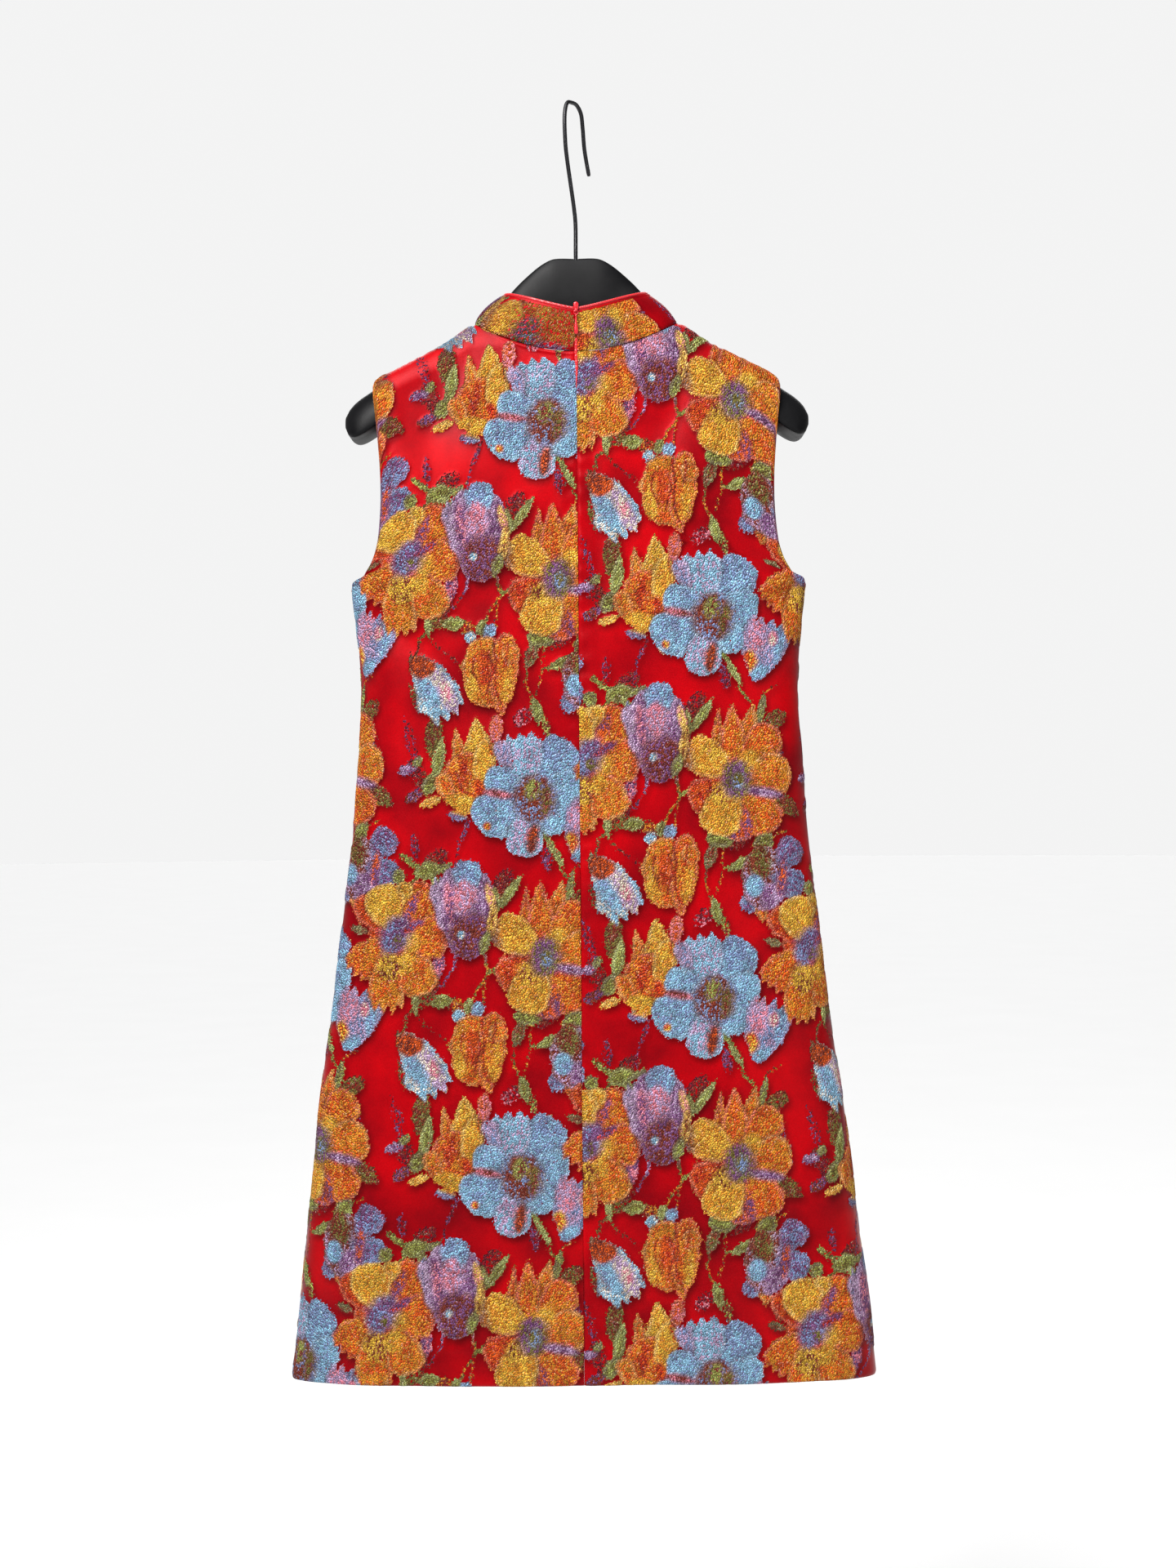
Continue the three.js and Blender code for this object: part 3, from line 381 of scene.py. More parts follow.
BACK_LEFT_CREASES = (
    (-184, -428, -126, -470, 14, -1.4), (-178, -402, -120, -424, 9, 0.9), (-186, -452, -150, -520, 15, 1.0),
    (-172, -530, -176, -710, 20, -1.2), (-150, -600, -150, -820, 20, 1.2), (-190, -650, -216, -900, 18, 1.5),
    (-116, -790, -132, -1080, 26, -1.5), (-58, -880, -60, -1085, 24, 1.4),
    (-214, -900, -238, -1085, 18, -1.6),
    (-24, -640, -20, -930, 18, -0.8), (-92, -240, -70, -300, 12, 0.8), (-126, -264, -108, -350, 18, -0.9),
    (-158, -252, -152, -322, 12, 0.7), (-16, -270, -50, -330, 13, -0.6), (-84, -540, -40, -600, 24, 0.8),
    (-172, -910, -186, -1086, 18, 1.4), (-50, -400, -120, -450, 20, -0.7), (-11, -330, -13, -520, 8, 0.6),
)
FRONT_CREASES = (
    (182, -430, 110, -470, 14, -1.3), (178, -404, 120, -440, 10, 0.9), (-184, -426, -122, -472, 14, -1.4),
    (-176, -400, -116, -430, 10, 1.0), (170, -540, 180, -760, 20, 1.3), (-172, -560, -180, -780, 20, -1.2),
    (120, -780, 142, -1080, 28, -1.5), (-112, -800, -130, -1080, 26, 1.5), (60, -860, 58, -1085, 26, 1.2),
    (-50, -900, -56, -1085, 24, -1.3), (0, -700, 4, -1060, 30, 1.0), (210, -880, 238, -1085, 18, 1.5),
    (-212, -900, -236, -1085, 18, -1.5), (70, -300, 10, -330, 20, -0.8), (-70, -296, -16, -340, 20, 0.7),
    (104, -260, 92, -340, 16, 0.8), (-100, -256, -96, -350, 16, -0.8),
)
COLLAR_CREASES = (
    (30, -214, 60, -176, 9, -0.5), (70, -205, 96, -170, 8, 0.5), (418, -214, 392, -178, 10, -0.9),
    (372, -206, 350, -170, 8, 0.5), (432, -190, 400, -196, 7, 0.4), (220, -250, 226, -220, 12, -0.6),
    (150, -224, 170, -190, 10, 0.5), (300, -226, 280, -190, 10, -0.5),
)

# Long waves of the drape: pitch, turn and height
RIPPLES = ((210, 0.3, 0.5), (134, 1.1, 0.32), (92, -0.5, 0.22), (57, 0.8, 0.12))

# ---------------------------------------------------------------- smooth curves and surfaces


def curve_through(keys, values, at):
    """Smooth curve through a table's rows: cubic pieces whose slope at a row is that of its two
    neighbours."""
    order = np.argsort(keys)
    keys, values = keys[order], values[order]
    before = np.maximum(np.arange(len(keys)) - 1, 0)
    after = np.minimum(np.arange(len(keys)) + 1, len(keys) - 1)
    slopes = (values[after] - values[before]) / (keys[after] - keys[before])
    piece = np.clip(np.searchsorted(keys, at) - 1, 0, len(keys) - 2)
    span = keys[piece + 1] - keys[piece]
    t = np.clip((at - keys[piece]) / span, 0, 1)
    rise = values[piece + 1] - values[piece]
    bend_in = slopes[piece] * span - rise
    bend_out = slopes[piece + 1] * span - rise
    return values[piece] + t * rise + t * (1 - t) * ((1 - t) * bend_in - t * bend_out)


def body_half_width(z):
    """Half width of the body's level section, on the curve through the sections."""
    return curve_through(BODY_SECTIONS[:, 0], BODY_SECTIONS[:, 1], z)


def body_half_depth(z):
    """Half depth of the body's level section, on the curve through the sections."""
    return curve_through(BODY_SECTIONS[:, 0], BODY_SECTIONS[:, 2], z)


def armhole_x(z):
    """Distance of the armhole's edge from the centre, on the curve through its points."""
    return curve_through(ARMHOLE_EDGE[:, 0], ARMHOLE_EDGE[:, 1], z)


def shoulder_z(x):
    """Height of the shoulder's line at x, on the curve through its points."""
    return curve_through(SHOULDER_LINE[:, 0], SHOULDER_LINE[:, 1], x)


def shoulder_half_depth(x):
    """Half depth of the cloth over the shoulder at x, on the curve through its points."""
    return curve_through(SHOULDER_LINE[:, 0], SHOULDER_LINE[:, 2], x)


def smoothstep(value, low, high):
    """0 below low, 1 above high, and an S curve between."""
    t = np.clip((value - low) / (high - low), 0, 1)
    return t * t * (3 - 2 * t)


def cloth_half_depth(x, z):
    """Half depth of the cloth: the body's superellipse, led toward the hanger's depth near the shoulder, and
    closed over the shoulder ridge by a quarter ellipse."""
    drop = shoulder_z(x) - z
    inside = np.maximum(1 - np.minimum(x / body_half_width(z), 1) ** SQUARENESS, 0)
    body = body_half_depth(z) * inside ** (1 / SQUARENESS)
    led = smoothstep(drop, 0, SHOULDER_BLEND)
    over = np.clip(drop / SHOULDER_ROUND, 0, 1)
    return (shoulder_half_depth(x) * (1 - led) + body * led) * np.sqrt(1 - (1 - over) ** 2)


def read_table(table, row, column):
    """Value between the four nearest entries of a table, at fractional row and column numbers."""
    row = np.clip(row, 0, table.shape[0] - 1.001)
    column = np.clip(column, 0, table.shape[1] - 1.001)
    i, j = row.astype(int), column.astype(int)
    a, b = row - i, column - j
    near = table[i, j] * (1 - b) + table[i, j + 1] * b
    far = table[i + 1, j] * (1 - b) + table[i + 1, j + 1] * b
    return near * (1 - a) + far * a


class LevelSections:
    """Lengths along the body's level sections, from the centre to the side seam, tabulated over height: a
    quarter superellipse is walked in small steps and its distances are summed."""

    HEIGHTS = 260
    STEPS = 200

    def __init__(self):
        """Quarter sections, |x / width| ** power + |y / depth| ** power = 1, with the length walked along
        each."""
        z = np.linspace(HEM_Z, NECK_Z, self.HEIGHTS)[:, None]
        angle = np.linspace(0, math.pi / 2, self.STEPS + 1)[None, :]
        x = body_half_width(z) * np.sin(angle) ** (2 / SQUARENESS)
        y = body_half_depth(z) * np.abs(np.cos(angle)) ** (2 / SQUARENESS)
        steps = np.hypot(np.diff(x, axis=1), np.diff(y, axis=1))
        self.length = np.concatenate([np.zeros((self.HEIGHTS, 1)), np.cumsum(steps, axis=1)], axis=1)
        self.whole = self.length[:, -1]
        shares = np.linspace(0, 1, self.STEPS + 1)
        self.x = np.array([np.interp(shares, row / row[-1], line) for row, line in zip(self.length, x)])

    def row(self, z):
        """Row of the tables at height z, as a fraction."""
        return (z - HEM_Z) / (NECK_Z - HEM_Z) * (self.HEIGHTS - 1)

    def length_to(self, z, x):
        """Length along the section at height z from the centre to x."""
        angle = np.arcsin(np.clip(x / body_half_width(z), 0, 1) ** (SQUARENESS / 2))
        return read_table(self.length, self.row(z), angle / (math.pi / 2) * self.STEPS)

    def x_at(self, z, length):
        """x of the point at a length along the section at height z."""
        whole = np.interp(self.row(z), np.arange(self.HEIGHTS), self.whole)
        return read_table(self.x, self.row(z), length / whole * self.STEPS)


SECTIONS = LevelSections()


def half_panel(column, place, neck_z):
    """Half of a front or back panel. column runs from 0 at the centre to 15 at the side seam and armhole,
    place from 0 at the hem to 1 at the neckline and shoulder. Columns share out each level section by its
    length, and lean toward their own places on the neckline and shoulder. Gives x, z, half depth and the
    length from the centre."""
    across = column / ALL_COLUMNS
    neck_share = np.sin(np.minimum(column / NECK_COLUMNS, 1) * math.pi / 2)
    shoulder_share = np.maximum((column - NECK_COLUMNS) / (ALL_COLUMNS - NECK_COLUMNS), 0)
    top_x = NECK_X * neck_share + (TIP_X - NECK_X) * shoulder_share
    neckline = neck_z + (NECK_Z - neck_z) * (top_x / NECK_X) ** 2
    top_z = np.where(column <= NECK_COLUMNS, neckline, shoulder_z(top_x))
    z = HEM_Z + (top_z - HEM_Z) * place
    side_z = HEM_Z + SIDE_HEIGHT * place
    seamed = side_z <= UNDERARM_Z + 1e-6
    side_x = np.where(seamed, body_half_width(side_z), armhole_x(side_z))
    side_length = SECTIONS.length_to(side_z, side_x)
    top_length = SECTIONS.length_to(top_z, top_x)
    tip_length = SECTIONS.length_to(np.array(TIP_Z), np.array(TIP_X))
    length = across * side_length + place * (top_length - across * tip_length)
    on_side = column >= ALL_COLUMNS
    x = np.where(on_side, side_x, SECTIONS.x_at(z, length))
    ridge = ((place >= 1) & (column >= NECK_COLUMNS)) | (on_side & seamed)
    return x, z, np.where(ridge, 0, cloth_half_depth(x, z)), length


def edged_steps(count, length, edge=1.3, edge_cells=3):
    """Places from 0 to 1 with a few thin cells over the first and last millimetres and even cells between."""
    thin = edge / length
    ends = np.linspace(0, thin, edge_cells + 1)
    middle = np.linspace(thin, 1 - thin, count - 2 * edge_cells + 1)[1:-1]
    return np.concatenate([ends, middle, 1 - ends[::-1]])


def panel_rows(count):
    """Places from hem to shoulder: even steps up to the shoulder's rounding, then even steps of angle over
    it."""
    over = 34
    round_share = SHOULDER_ROUND / SIDE_HEIGHT
    straight = edged_steps(count - over, SIDE_HEIGHT) * (1 - round_share)
    angle = np.linspace(math.pi / 2, 0, over + 1)[1:]
    return np.concatenate([straight, 1 - round_share * (1 - np.cos(angle))])


def grid_normals(points, ridge, centre):
    """Outward directions of a grid: across x up, kept in the seam's plane on a ridge or on the centre
    line."""
    across = np.gradient(points, axis=0)
    up = np.gradient(points, axis=1)
    normals = np.cross(across, up)
    normals[..., 1] = np.where(ridge, 0, normals[..., 1])
    normals[..., 0] = np.where(centre, 0, normals[..., 0])
    return normals / np.maximum(np.linalg.norm(normals, axis=2, keepdims=True), 1e-9)


def creases(across, up, rows):
    """Soft ridges and troughs: each is a bell across its line, which fades out at both ends and widens
    downward."""
    height = np.zeros_like(across)
    for x0, z0, x1, z1, width, depth in rows:
        along = np.array([x1 - x0, z1 - z0], float)
        length = np.hypot(*along)
        along /= length
        share = ((across - x0) * along[0] + (up - z0) * along[1]) / length
        aside = (across - x0) * -along[1] + (up - z0) * along[0]
        aside = aside + 0.12 * width * np.sin(share * 5.0 + width)
        spread = width * (0.75 + 0.5 * np.clip(share, 0, 1))
        fade = smoothstep(share, -0.25, 0.3) * (1 - smoothstep(share, 0.7, 1.3))
        height += depth * fade * np.exp(-((aside / spread) ** 2))
    return height


def drape_ripple(across, up, seed):
    """A few long uneven waves, so that no stretch of cloth is quite flat: sines of given lengths and turns."""
    ripple = np.zeros_like(across)
    for number, (pitch, turn, height) in enumerate(RIPPLES):
        along = across * math.cos(turn) + up * math.sin(turn)
        ripple += height * np.sin(2 * math.pi * along / pitch + 1.7 * number + seed)
    return ripple


def bell(value, middle, width):
    """1 at the middle, and a smooth fall on both sides: e to the minus square of the distance in widths."""
    return np.exp(-(((value - middle) / width) ** 2))


# ---------------------------------------------------------------- weaving the brocade


def linear(colour):
    """sRGB from 0 to 255 to linear."""
    share = np.array(colour, float) / 255
    return np.where(share <= 0.04045, share / 12.92, ((share + 0.055) / 1.055) ** 2.4)


class Cloth:
    """What the loom left at each point: figure, the share of figure threads; two thread colours and the share
    of the second; and lift, how far the figure is puffed up."""

    def __init__(self, across, up):
        """An empty cloth over a grid of places along and up the weave."""
        self.across, self.up = across, up
        self.figure = np.zeros(across.shape)
        self.share = np.zeros(across.shape)
        self.lift = np.zeros(across.shape)
        self.first = np.zeros(across.shape + (3,)) + linear(THREADS["gold"])
        self.second = np.zeros(across.shape + (3,)) + linear(THREADS["orange"])

    def painted_shadow(self):
        """Painted shadow on the ground beside the figure, darker down and to the right of it as if cast by
        light from the upper left: the figure spread by a few cells and moved down and to the right, less the
        figure itself."""
        spread = self.figure
        for axis in (0, 1):
            spread = (np.roll(spread, 2, axis) + np.roll(spread, 1, axis) + spread + np.roll(spread, -1, axis)
                      + np.roll(spread, -2, axis)) / 5
        spread = np.roll(spread, (1, -2), (0, 1))
        return np.clip(spread * 1.3 - self.figure, 0, 1)

    def lay(self, at, weight, cover, first, second, share, lift, rim):
        """Lays a stroke over what is there: weight of the stroke over the rest, as paint over paint. rim is a
        painted shadow: it darkens the figure already there just outside the stroke, as if the stroke cast
        shade on it, and lowers its lift."""
        below = (1 - weight) * self.figure[at]
        total = np.maximum(weight * cover + below, 1e-9)
        keep = (below / total)[:, None]
        # painted shadow along the rim of the new stroke, on the figure below it
        shade = (1 - 0.42 * rim * self.figure[at])[:, None]
        self.first[at] = self.first[at] * shade * keep + first * (1 - keep)
        self.second[at] = self.second[at] * shade * keep + second * (1 - keep)
        self.share[at] = self.share[at] * keep[:, 0] + share * (1 - keep[:, 0])
        self.figure[at] = weight * cover + below
        self.lift[at] = np.maximum(self.lift[at] * (1 - 0.6 * rim), 0) * (1 - weight) + lift * weight

    def stroke(self, centre, row):
        """One oval, petal, leaf, spike or fringe. Its half width is (1+u)^a (1-u)^b along its axis, u from -1
        at the base to 1 at the tip; teeth cut into a fringe's tip."""
        x, z, turn, length, width, outline, first, second, share, cover, soft = row
        a, b, teeth = OUTLINES[outline]
        reach = 0.5 * math.hypot(length, width) + 5
        dx = self.across - (centre[0] + x)
        dz = self.up - (centre[1] + z)
        at = np.nonzero((np.abs(dx) < reach) & (np.abs(dz) < reach))
        if not at[0].size:
            return
        dx, dz = dx[at], dz[at]
        sin, cos = math.sin(math.radians(turn)), math.cos(math.radians(turn))
        along = (dx * sin + dz * cos) / (length / 2)
        aside = dx * cos - dz * sin
        wobble = 0.05 * np.sin(aside * 0.55 + x) + 0.04 * np.sin(along * 9 + z)
        if teeth:
            bite = np.abs((aside / width * 4.0 + 0.3) % 1 - 0.5) * 2
            along = along + teeth * bite * smoothstep(along, 0.0, 0.9)
        widest = (a - b) / (a + b)
        scale = (1 + widest) ** a * (1 - widest) ** b
        u = np.clip(along, -1, 1)
        half = width / 2 * (1 + wobble) * (1 + u) ** a * (1 - u) ** b / scale
        inside = np.minimum(half - np.abs(aside), (1 - np.abs(along)) * length / 2)
        weight = smoothstep(inside, -soft, soft)
        rim = np.zeros_like(weight)
        if soft > TINT_SOFTNESS:
            weight = weight * self.figure[at]
        else:
            weight = np.maximum(weight, np.where(inside > -4, 1e-4, 0))
            # the rim of painted shadow, just outside the stroke's edge
            rim = bell(inside, -0.9, 0.9)
        fan = aside * (1.25 - 0.45 * u) / STREAK * 2 * math.pi
        contrast = 0.5 if outline in STREAKED else 0.3
        streak = np.sin(fan + 1.1 * np.sin(along * 5 + x) + z) * contrast
        # more of the second, darker thread toward the base, as woven, and toward one side, a painted shade
        # across the stroke
        lean = np.clip(share - 0.16 * u + 0.14 * aside / (width / 2) + 0.5 * streak, 0.03, 0.97)
        dome = 0.6 + 0.4 * smoothstep(inside, 0, min(width, length) * 0.3) + 0.25 * streak
        lift = self.lift[at] if soft > TINT_SOFTNESS else dome * cover
        light, dark = linear(THREADS[first]), linear(THREADS[second])
        # a lighter band just inside the stroke's edge: partly a light outline in the weave, partly a painted
        # highlight on the puffed edge
        if soft <= TINT_SOFTNESS and cover == 1:
            edge = bell(inside, 1.4, 1.3)[:, None]
            light = light * (1 - 0.3 * edge) + (light * 0.6 + 0.4) * 0.3 * edge
            dark = dark * (1 - 0.4 * edge) + light * 0.4 * edge
        self.lay(at, weight, cover, light, dark, lean, lift, rim)

    def stem(self, centre, row):
        """One straight length of stem or fold line, with round ends."""
        x0, z0, x1, z1, width, first, second, share, cover = row
        start = np.array([centre[0] + x0, centre[1] + z0])
        run = np.array([x1 - x0, z1 - z0], float)
        reach = np.hypot(*run) / 2 + width + 4
        middle = start + run / 2
        at = np.nonzero((np.abs(self.across - middle[0]) < reach) & (np.abs(self.up - middle[1]) < reach))
        if not at[0].size:
            return
        dx, dz = self.across[at] - start[0], self.up[at] - start[1]
        share_along = np.clip((dx * run[0] + dz * run[1]) / (run @ run), 0, 1)
        bend = 0.7 * np.sin(share_along * math.pi) * (1 if (x0 + z1) % 2 else -1)
        length = np.hypot(*run)
        aside = np.hypot(dx - run[0] * share_along - bend * run[1] / length,
                         dz - run[1] * share_along + bend * run[0] / length)
        inside = width / 2 - aside
        weight = smoothstep(inside, -0.8, 0.6)
        weight = np.maximum(weight, np.where(inside > -3, 1e-4, 0))
        self.lay(at, weight, cover, linear(THREADS[first]), linear(THREADS[second]), share, 0.5 * cover,
                 np.zeros_like(weight))


def weave(across, up, lay):
    """The repeat laid over a piece in half drop: every other column of repeats is half a repeat higher."""
    cloth = Cloth(across, up)
    height = lay["height"]
    columns = range(int(np.floor((across.min() - lay["across"]) / REPEAT_ACROSS)) - 1,
                    int(np.ceil((across.max() - lay["across"]) / REPEAT_ACROSS)) + 2)
    rows = range(int(np.floor((up.min() - lay["up"]) / height)) - 2,
                 int(np.ceil((up.max() - lay["up"]) / height)) + 2)
    for column in columns:
        for row in rows:
            z = lay["up"] + (row + HALF_DROP * (column % 2)) * height
            x = lay["across"] + column * REPEAT_ACROSS + lay["lean"] * (z - lay["up"])
            for stem in STEMS:
                cloth.stem((x, z), stem)
            for stroke in STROKES:
                cloth.stroke((x, z), stroke)
            for fold in FOLDS:
                cloth.stem((x, z), fold)
    return cloth


# ---------------------------------------------------------------- meshes


def mesh_object(name, points, faces, materials, smooth=True):
    """A mesh piece from points in millimetres and faces, with its place in its mesh."""
    mesh = bpy.data.meshes.new(name)
    mesh.from_pydata((np.asarray(points) * MM).tolist(), [], faces)
    mesh.polygons.foreach_set("use_smooth", np.full(len(mesh.polygons), smooth))
    for material in materials:
        mesh.materials.append(material)
    mesh.update()
    piece = bpy.data.objects.new(name, mesh)
    bpy.context.scene.collection.objects.link(piece)
    return piece


def edge_strip(outer, inner, step, flip):
    """Triangles between a fine border and a coarse one that has every step-th point: two fans and the
    triangle between them for each coarse length."""
    half = step // 2
    faces = []
    first, last = inner[:-1], inner[1:]
    for k in range(step):
        near, far = outer[k:-1:step][:len(first)], outer[k + 1::step][:len(first)]
        faces.append(np.stack([near, first if k < half else last, far], axis=1))
    faces.append(np.stack([outer[half:-1:step][:len(first)], first, last], axis=1))
    faces = np.concatenate(faces)
    return faces[:, ::-1] if flip else faces


def grid_faces(ids, flip):
    """One four-sided face for each cell of a grid of vertex numbers, turned round where asked."""
    faces = np.stack([ids[:-1, :-1], ids[1:, :-1], ids[1:, 1:], ids[:-1, 1:]], axis=-1).reshape(-1, 4)
    return faces[:, ::-1] if flip else faces


def cloth_shell(name, outer, inner, step, cloth, uv, materials):
    """A closed piece of cloth: a fine outer face that carries the weave, a coarse inner face, and their four
    borders. Columns run to the right as seen from outside, and rows run up."""
    inner = inner[::step, ::step]
    outer_ids = np.arange(outer.shape[0] * outer.shape[1]).reshape(outer.shape[:2])
    inner_ids = outer_ids.size + np.arange(inner.shape[0] * inner.shape[1]).reshape(inner.shape[:2])
    quads = [grid_faces(outer_ids, False), grid_faces(inner_ids, True)]
    strips = [
        edge_strip(outer_ids[:, 0], inner_ids[:, 0], step, False),
        edge_strip(outer_ids[:, -1], inner_ids[:, -1], step, True),
        edge_strip(outer_ids[0, :], inner_ids[0, :], step, True),
        edge_strip(outer_ids[-1, :], inner_ids[-1, :], step, False),
    ]
    points = np.concatenate([outer.reshape(-1, 3), inner.reshape(-1, 3)])
    faces = [face for part in quads + strips for face in part.tolist()]
    piece = mesh_object(name, points, faces, materials)
    slots = np.zeros(len(faces), np.int32)
    slots[len(quads[0]):len(quads[0]) + len(quads[1])] = 1
    piece.data.polygons.foreach_set("material_index", slots)

    def spread(fine):
        """A value for every point: the fine grid's, and the coarse grid's share of it."""
        coarse = fine[::step, ::step].reshape(inner_ids.size, -1)
        return np.concatenate([fine.reshape(outer_ids.size, -1), coarse])

    # painted_shadow is painted shade on the ground beside the figure, kept as a value on the mesh
    for label, values in (("figure", cloth.figure), ("share", cloth.share), ("painted_shadow", cloth.painted_shadow())):
        attribute = piece.data.attributes.new(label, "FLOAT", "POINT")
        attribute.data.foreach_set("value", spread(values).astype(np.float32).ravel())
    for label, values in (("thread_a", cloth.first), ("thread_b", cloth.second)):
        attribute = piece.data.attributes.new(label, "FLOAT_COLOR", "POINT")
        colours = np.ones((outer_ids.size + inner_ids.size, 4), np.float32)
        colours[:, :3] = spread(values)
        attribute.data.foreach_set("color", colours.ravel())
    corners = np.empty(len(piece.data.loops), np.int32)
    piece.data.loops.foreach_get("vertex_index", corners)
    layer = piece.data.uv_layers.new(name="cloth")
    layer.data.foreach_set("uv", (spread(uv)[corners] * MM).astype(np.float32).ravel())
    return piece


def one_face_area(points):
    """Area of a grid's cloth in square metres, from the diagonals of its cells."""
    first = points[1:, 1:] - points[:-1, :-1]
    second = points[:-1, 1:] - points[1:, :-1]
    return float(np.linalg.norm(np.cross(first, second), axis=2).sum() / 2 * MM * MM)


def tube(name, path, radii, sides, materials, closed=False, across=None):
    """A round profile carried along a path. radii has one radius for each point, or two, along a side
    direction and a lift direction that stay square to the path. across is the direction the sides start
    from."""
    path = np.asarray(path, float)
    if closed:
        ahead = np.roll(path, -1, axis=0) - np.roll(path, 1, axis=0)
    else:
        ahead = np.gradient(path, axis=0)
    ahead /= np.linalg.norm(ahead, axis=1, keepdims=True)
    across = np.broadcast_to(np.asarray(across if across is not None else (0, 1, 0), float), path.shape)
    side = across - (across * ahead).sum(1, keepdims=True) * ahead
    side /= np.linalg.norm(side, axis=1, keepdims=True)
    lift = np.cross(ahead, side)
    rows = len(path) if np.ndim(radii) else 1
    radii = np.broadcast_to(np.asarray(radii, float).reshape(rows, -1), (len(path), 2))
    angle = np.arange(sides) * 2 * math.pi / sides
    rings = (path[:, None] + radii[:, None, :1] * np.cos(angle)[None, :, None] * side[:, None]
             + radii[:, None, 1:] * np.sin(angle)[None, :, None] * lift[:, None])
    ids = np.arange(len(path) * sides).reshape(len(path), sides)
    ids = np.concatenate([ids, ids[:, :1]], axis=1)
    if closed:
        ids = np.concatenate([ids, ids[:1]])
    faces = grid_faces(ids.T, False).tolist()
    if not closed:
        faces += [ids[0, :-1].tolist()[::-1], ids[-1, :-1].tolist()]
    return mesh_object(name, rings.reshape(-1, 3), faces, materials)


def spline(points, steps):
    """Centripetal Catmull-Rom curve through points, with even steps in each piece."""
    points = np.asarray(points, float)
    points = np.concatenate([[2 * points[0] - points[1]], points, [2 * points[-1] - points[-2]]])
    knots = np.concatenate([[0], np.cumsum(np.linalg.norm(np.diff(points, axis=0), axis=1) ** 0.5)])
    out = []
    for i in range(1, len(points) - 2):
        t = np.linspace(knots[i], knots[i + 1], steps, endpoint=False)[:, None]
        p, k = points[i - 1:i + 3], knots[i - 1:i + 3]
        a1 = (k[1] - t) / (k[1] - k[0]) * p[0] + (t - k[0]) / (k[1] - k[0]) * p[1]
        a2 = (k[2] - t) / (k[2] - k[1]) * p[1] + (t - k[1]) / (k[2] - k[1]) * p[2]
        a3 = (k[3] - t) / (k[3] - k[2]) * p[2] + (t - k[2]) / (k[3] - k[2]) * p[3]
        b1 = (k[2] - t) / (k[2] - k[0]) * a1 + (t - k[0]) / (k[2] - k[0]) * a2
        b2 = (k[3] - t) / (k[3] - k[1]) * a2 + (t - k[1]) / (k[3] - k[1]) * a3
        out.append((k[2] - t) / (k[2] - k[1]) * b1 + (t - k[1]) / (k[2] - k[1]) * b2)
    return np.concatenate(out + [points[-2:-1]])


# ---------------------------------------------------------------- materials


def new_material(name):
    """An empty node material with a shader joined to its output."""
    material = bpy.data.materials.new(name)
    material.use_nodes = True
    tree = material.node_tree
    tree.nodes.clear()
    shader = tree.nodes.new("ShaderNodeBsdfPrincipled")
    output = tree.nodes.new("ShaderNodeOutputMaterial")
    tree.links.new(shader.outputs["BSDF"], output.inputs["Surface"])
    return material, tree, shader


def add_node(tree, kind, inputs=None, **settings):
    """Adds a node with its settings. inputs maps a socket's name or number to a constant or to another
    socket."""
    node = tree.nodes.new("ShaderNode" + kind)
    for key, value in settings.items():
        setattr(node, key, value)
    for key, value in (inputs or {}).items():
        if isinstance(value, bpy.types.NodeSocket):
            tree.links.new(value, node.inputs[key])
        else:
            node.inputs[key].default_value = value
    return node


def math_node(tree, operation, first, second=0.0, third=0.0):
    """The result of a Math node on two or three values."""
    return add_node(tree, "Math", {0: first, 1: second, 2: third}, operation=operation).outputs[0]


def mix_colour(tree, factor, first, second):
    """The second colour over the first, by the factor."""
    return add_node(tree, "Mix", {0: factor, 6: first, 7: second}, data_type="RGBA").outputs[2]


def opaque(colour, tone=1.0):
    """A setting's colour, lightened or darkened by tone, with full alpha."""
    return tuple(tone * value for value in colour) + (1.0,)


def ranged(tree, value, low, high, to_low, to_high):
    """A value carried in a straight line from low and high to two others, and held at the ends."""
    return add_node(tree, "MapRange", {0: value, 1: low, 2: high, 3: to_low, 4: to_high}).outputs[0]


def bumped(tree, shader, height, distance):
    """Tilts the shader's normals along the slopes of a height."""
    bump = add_node(tree, "Bump", {"Height": height, "Distance": distance, "Strength": 1.0})
    tree.links.new(bump.outputs["Normal"], shader.inputs["Normal"])


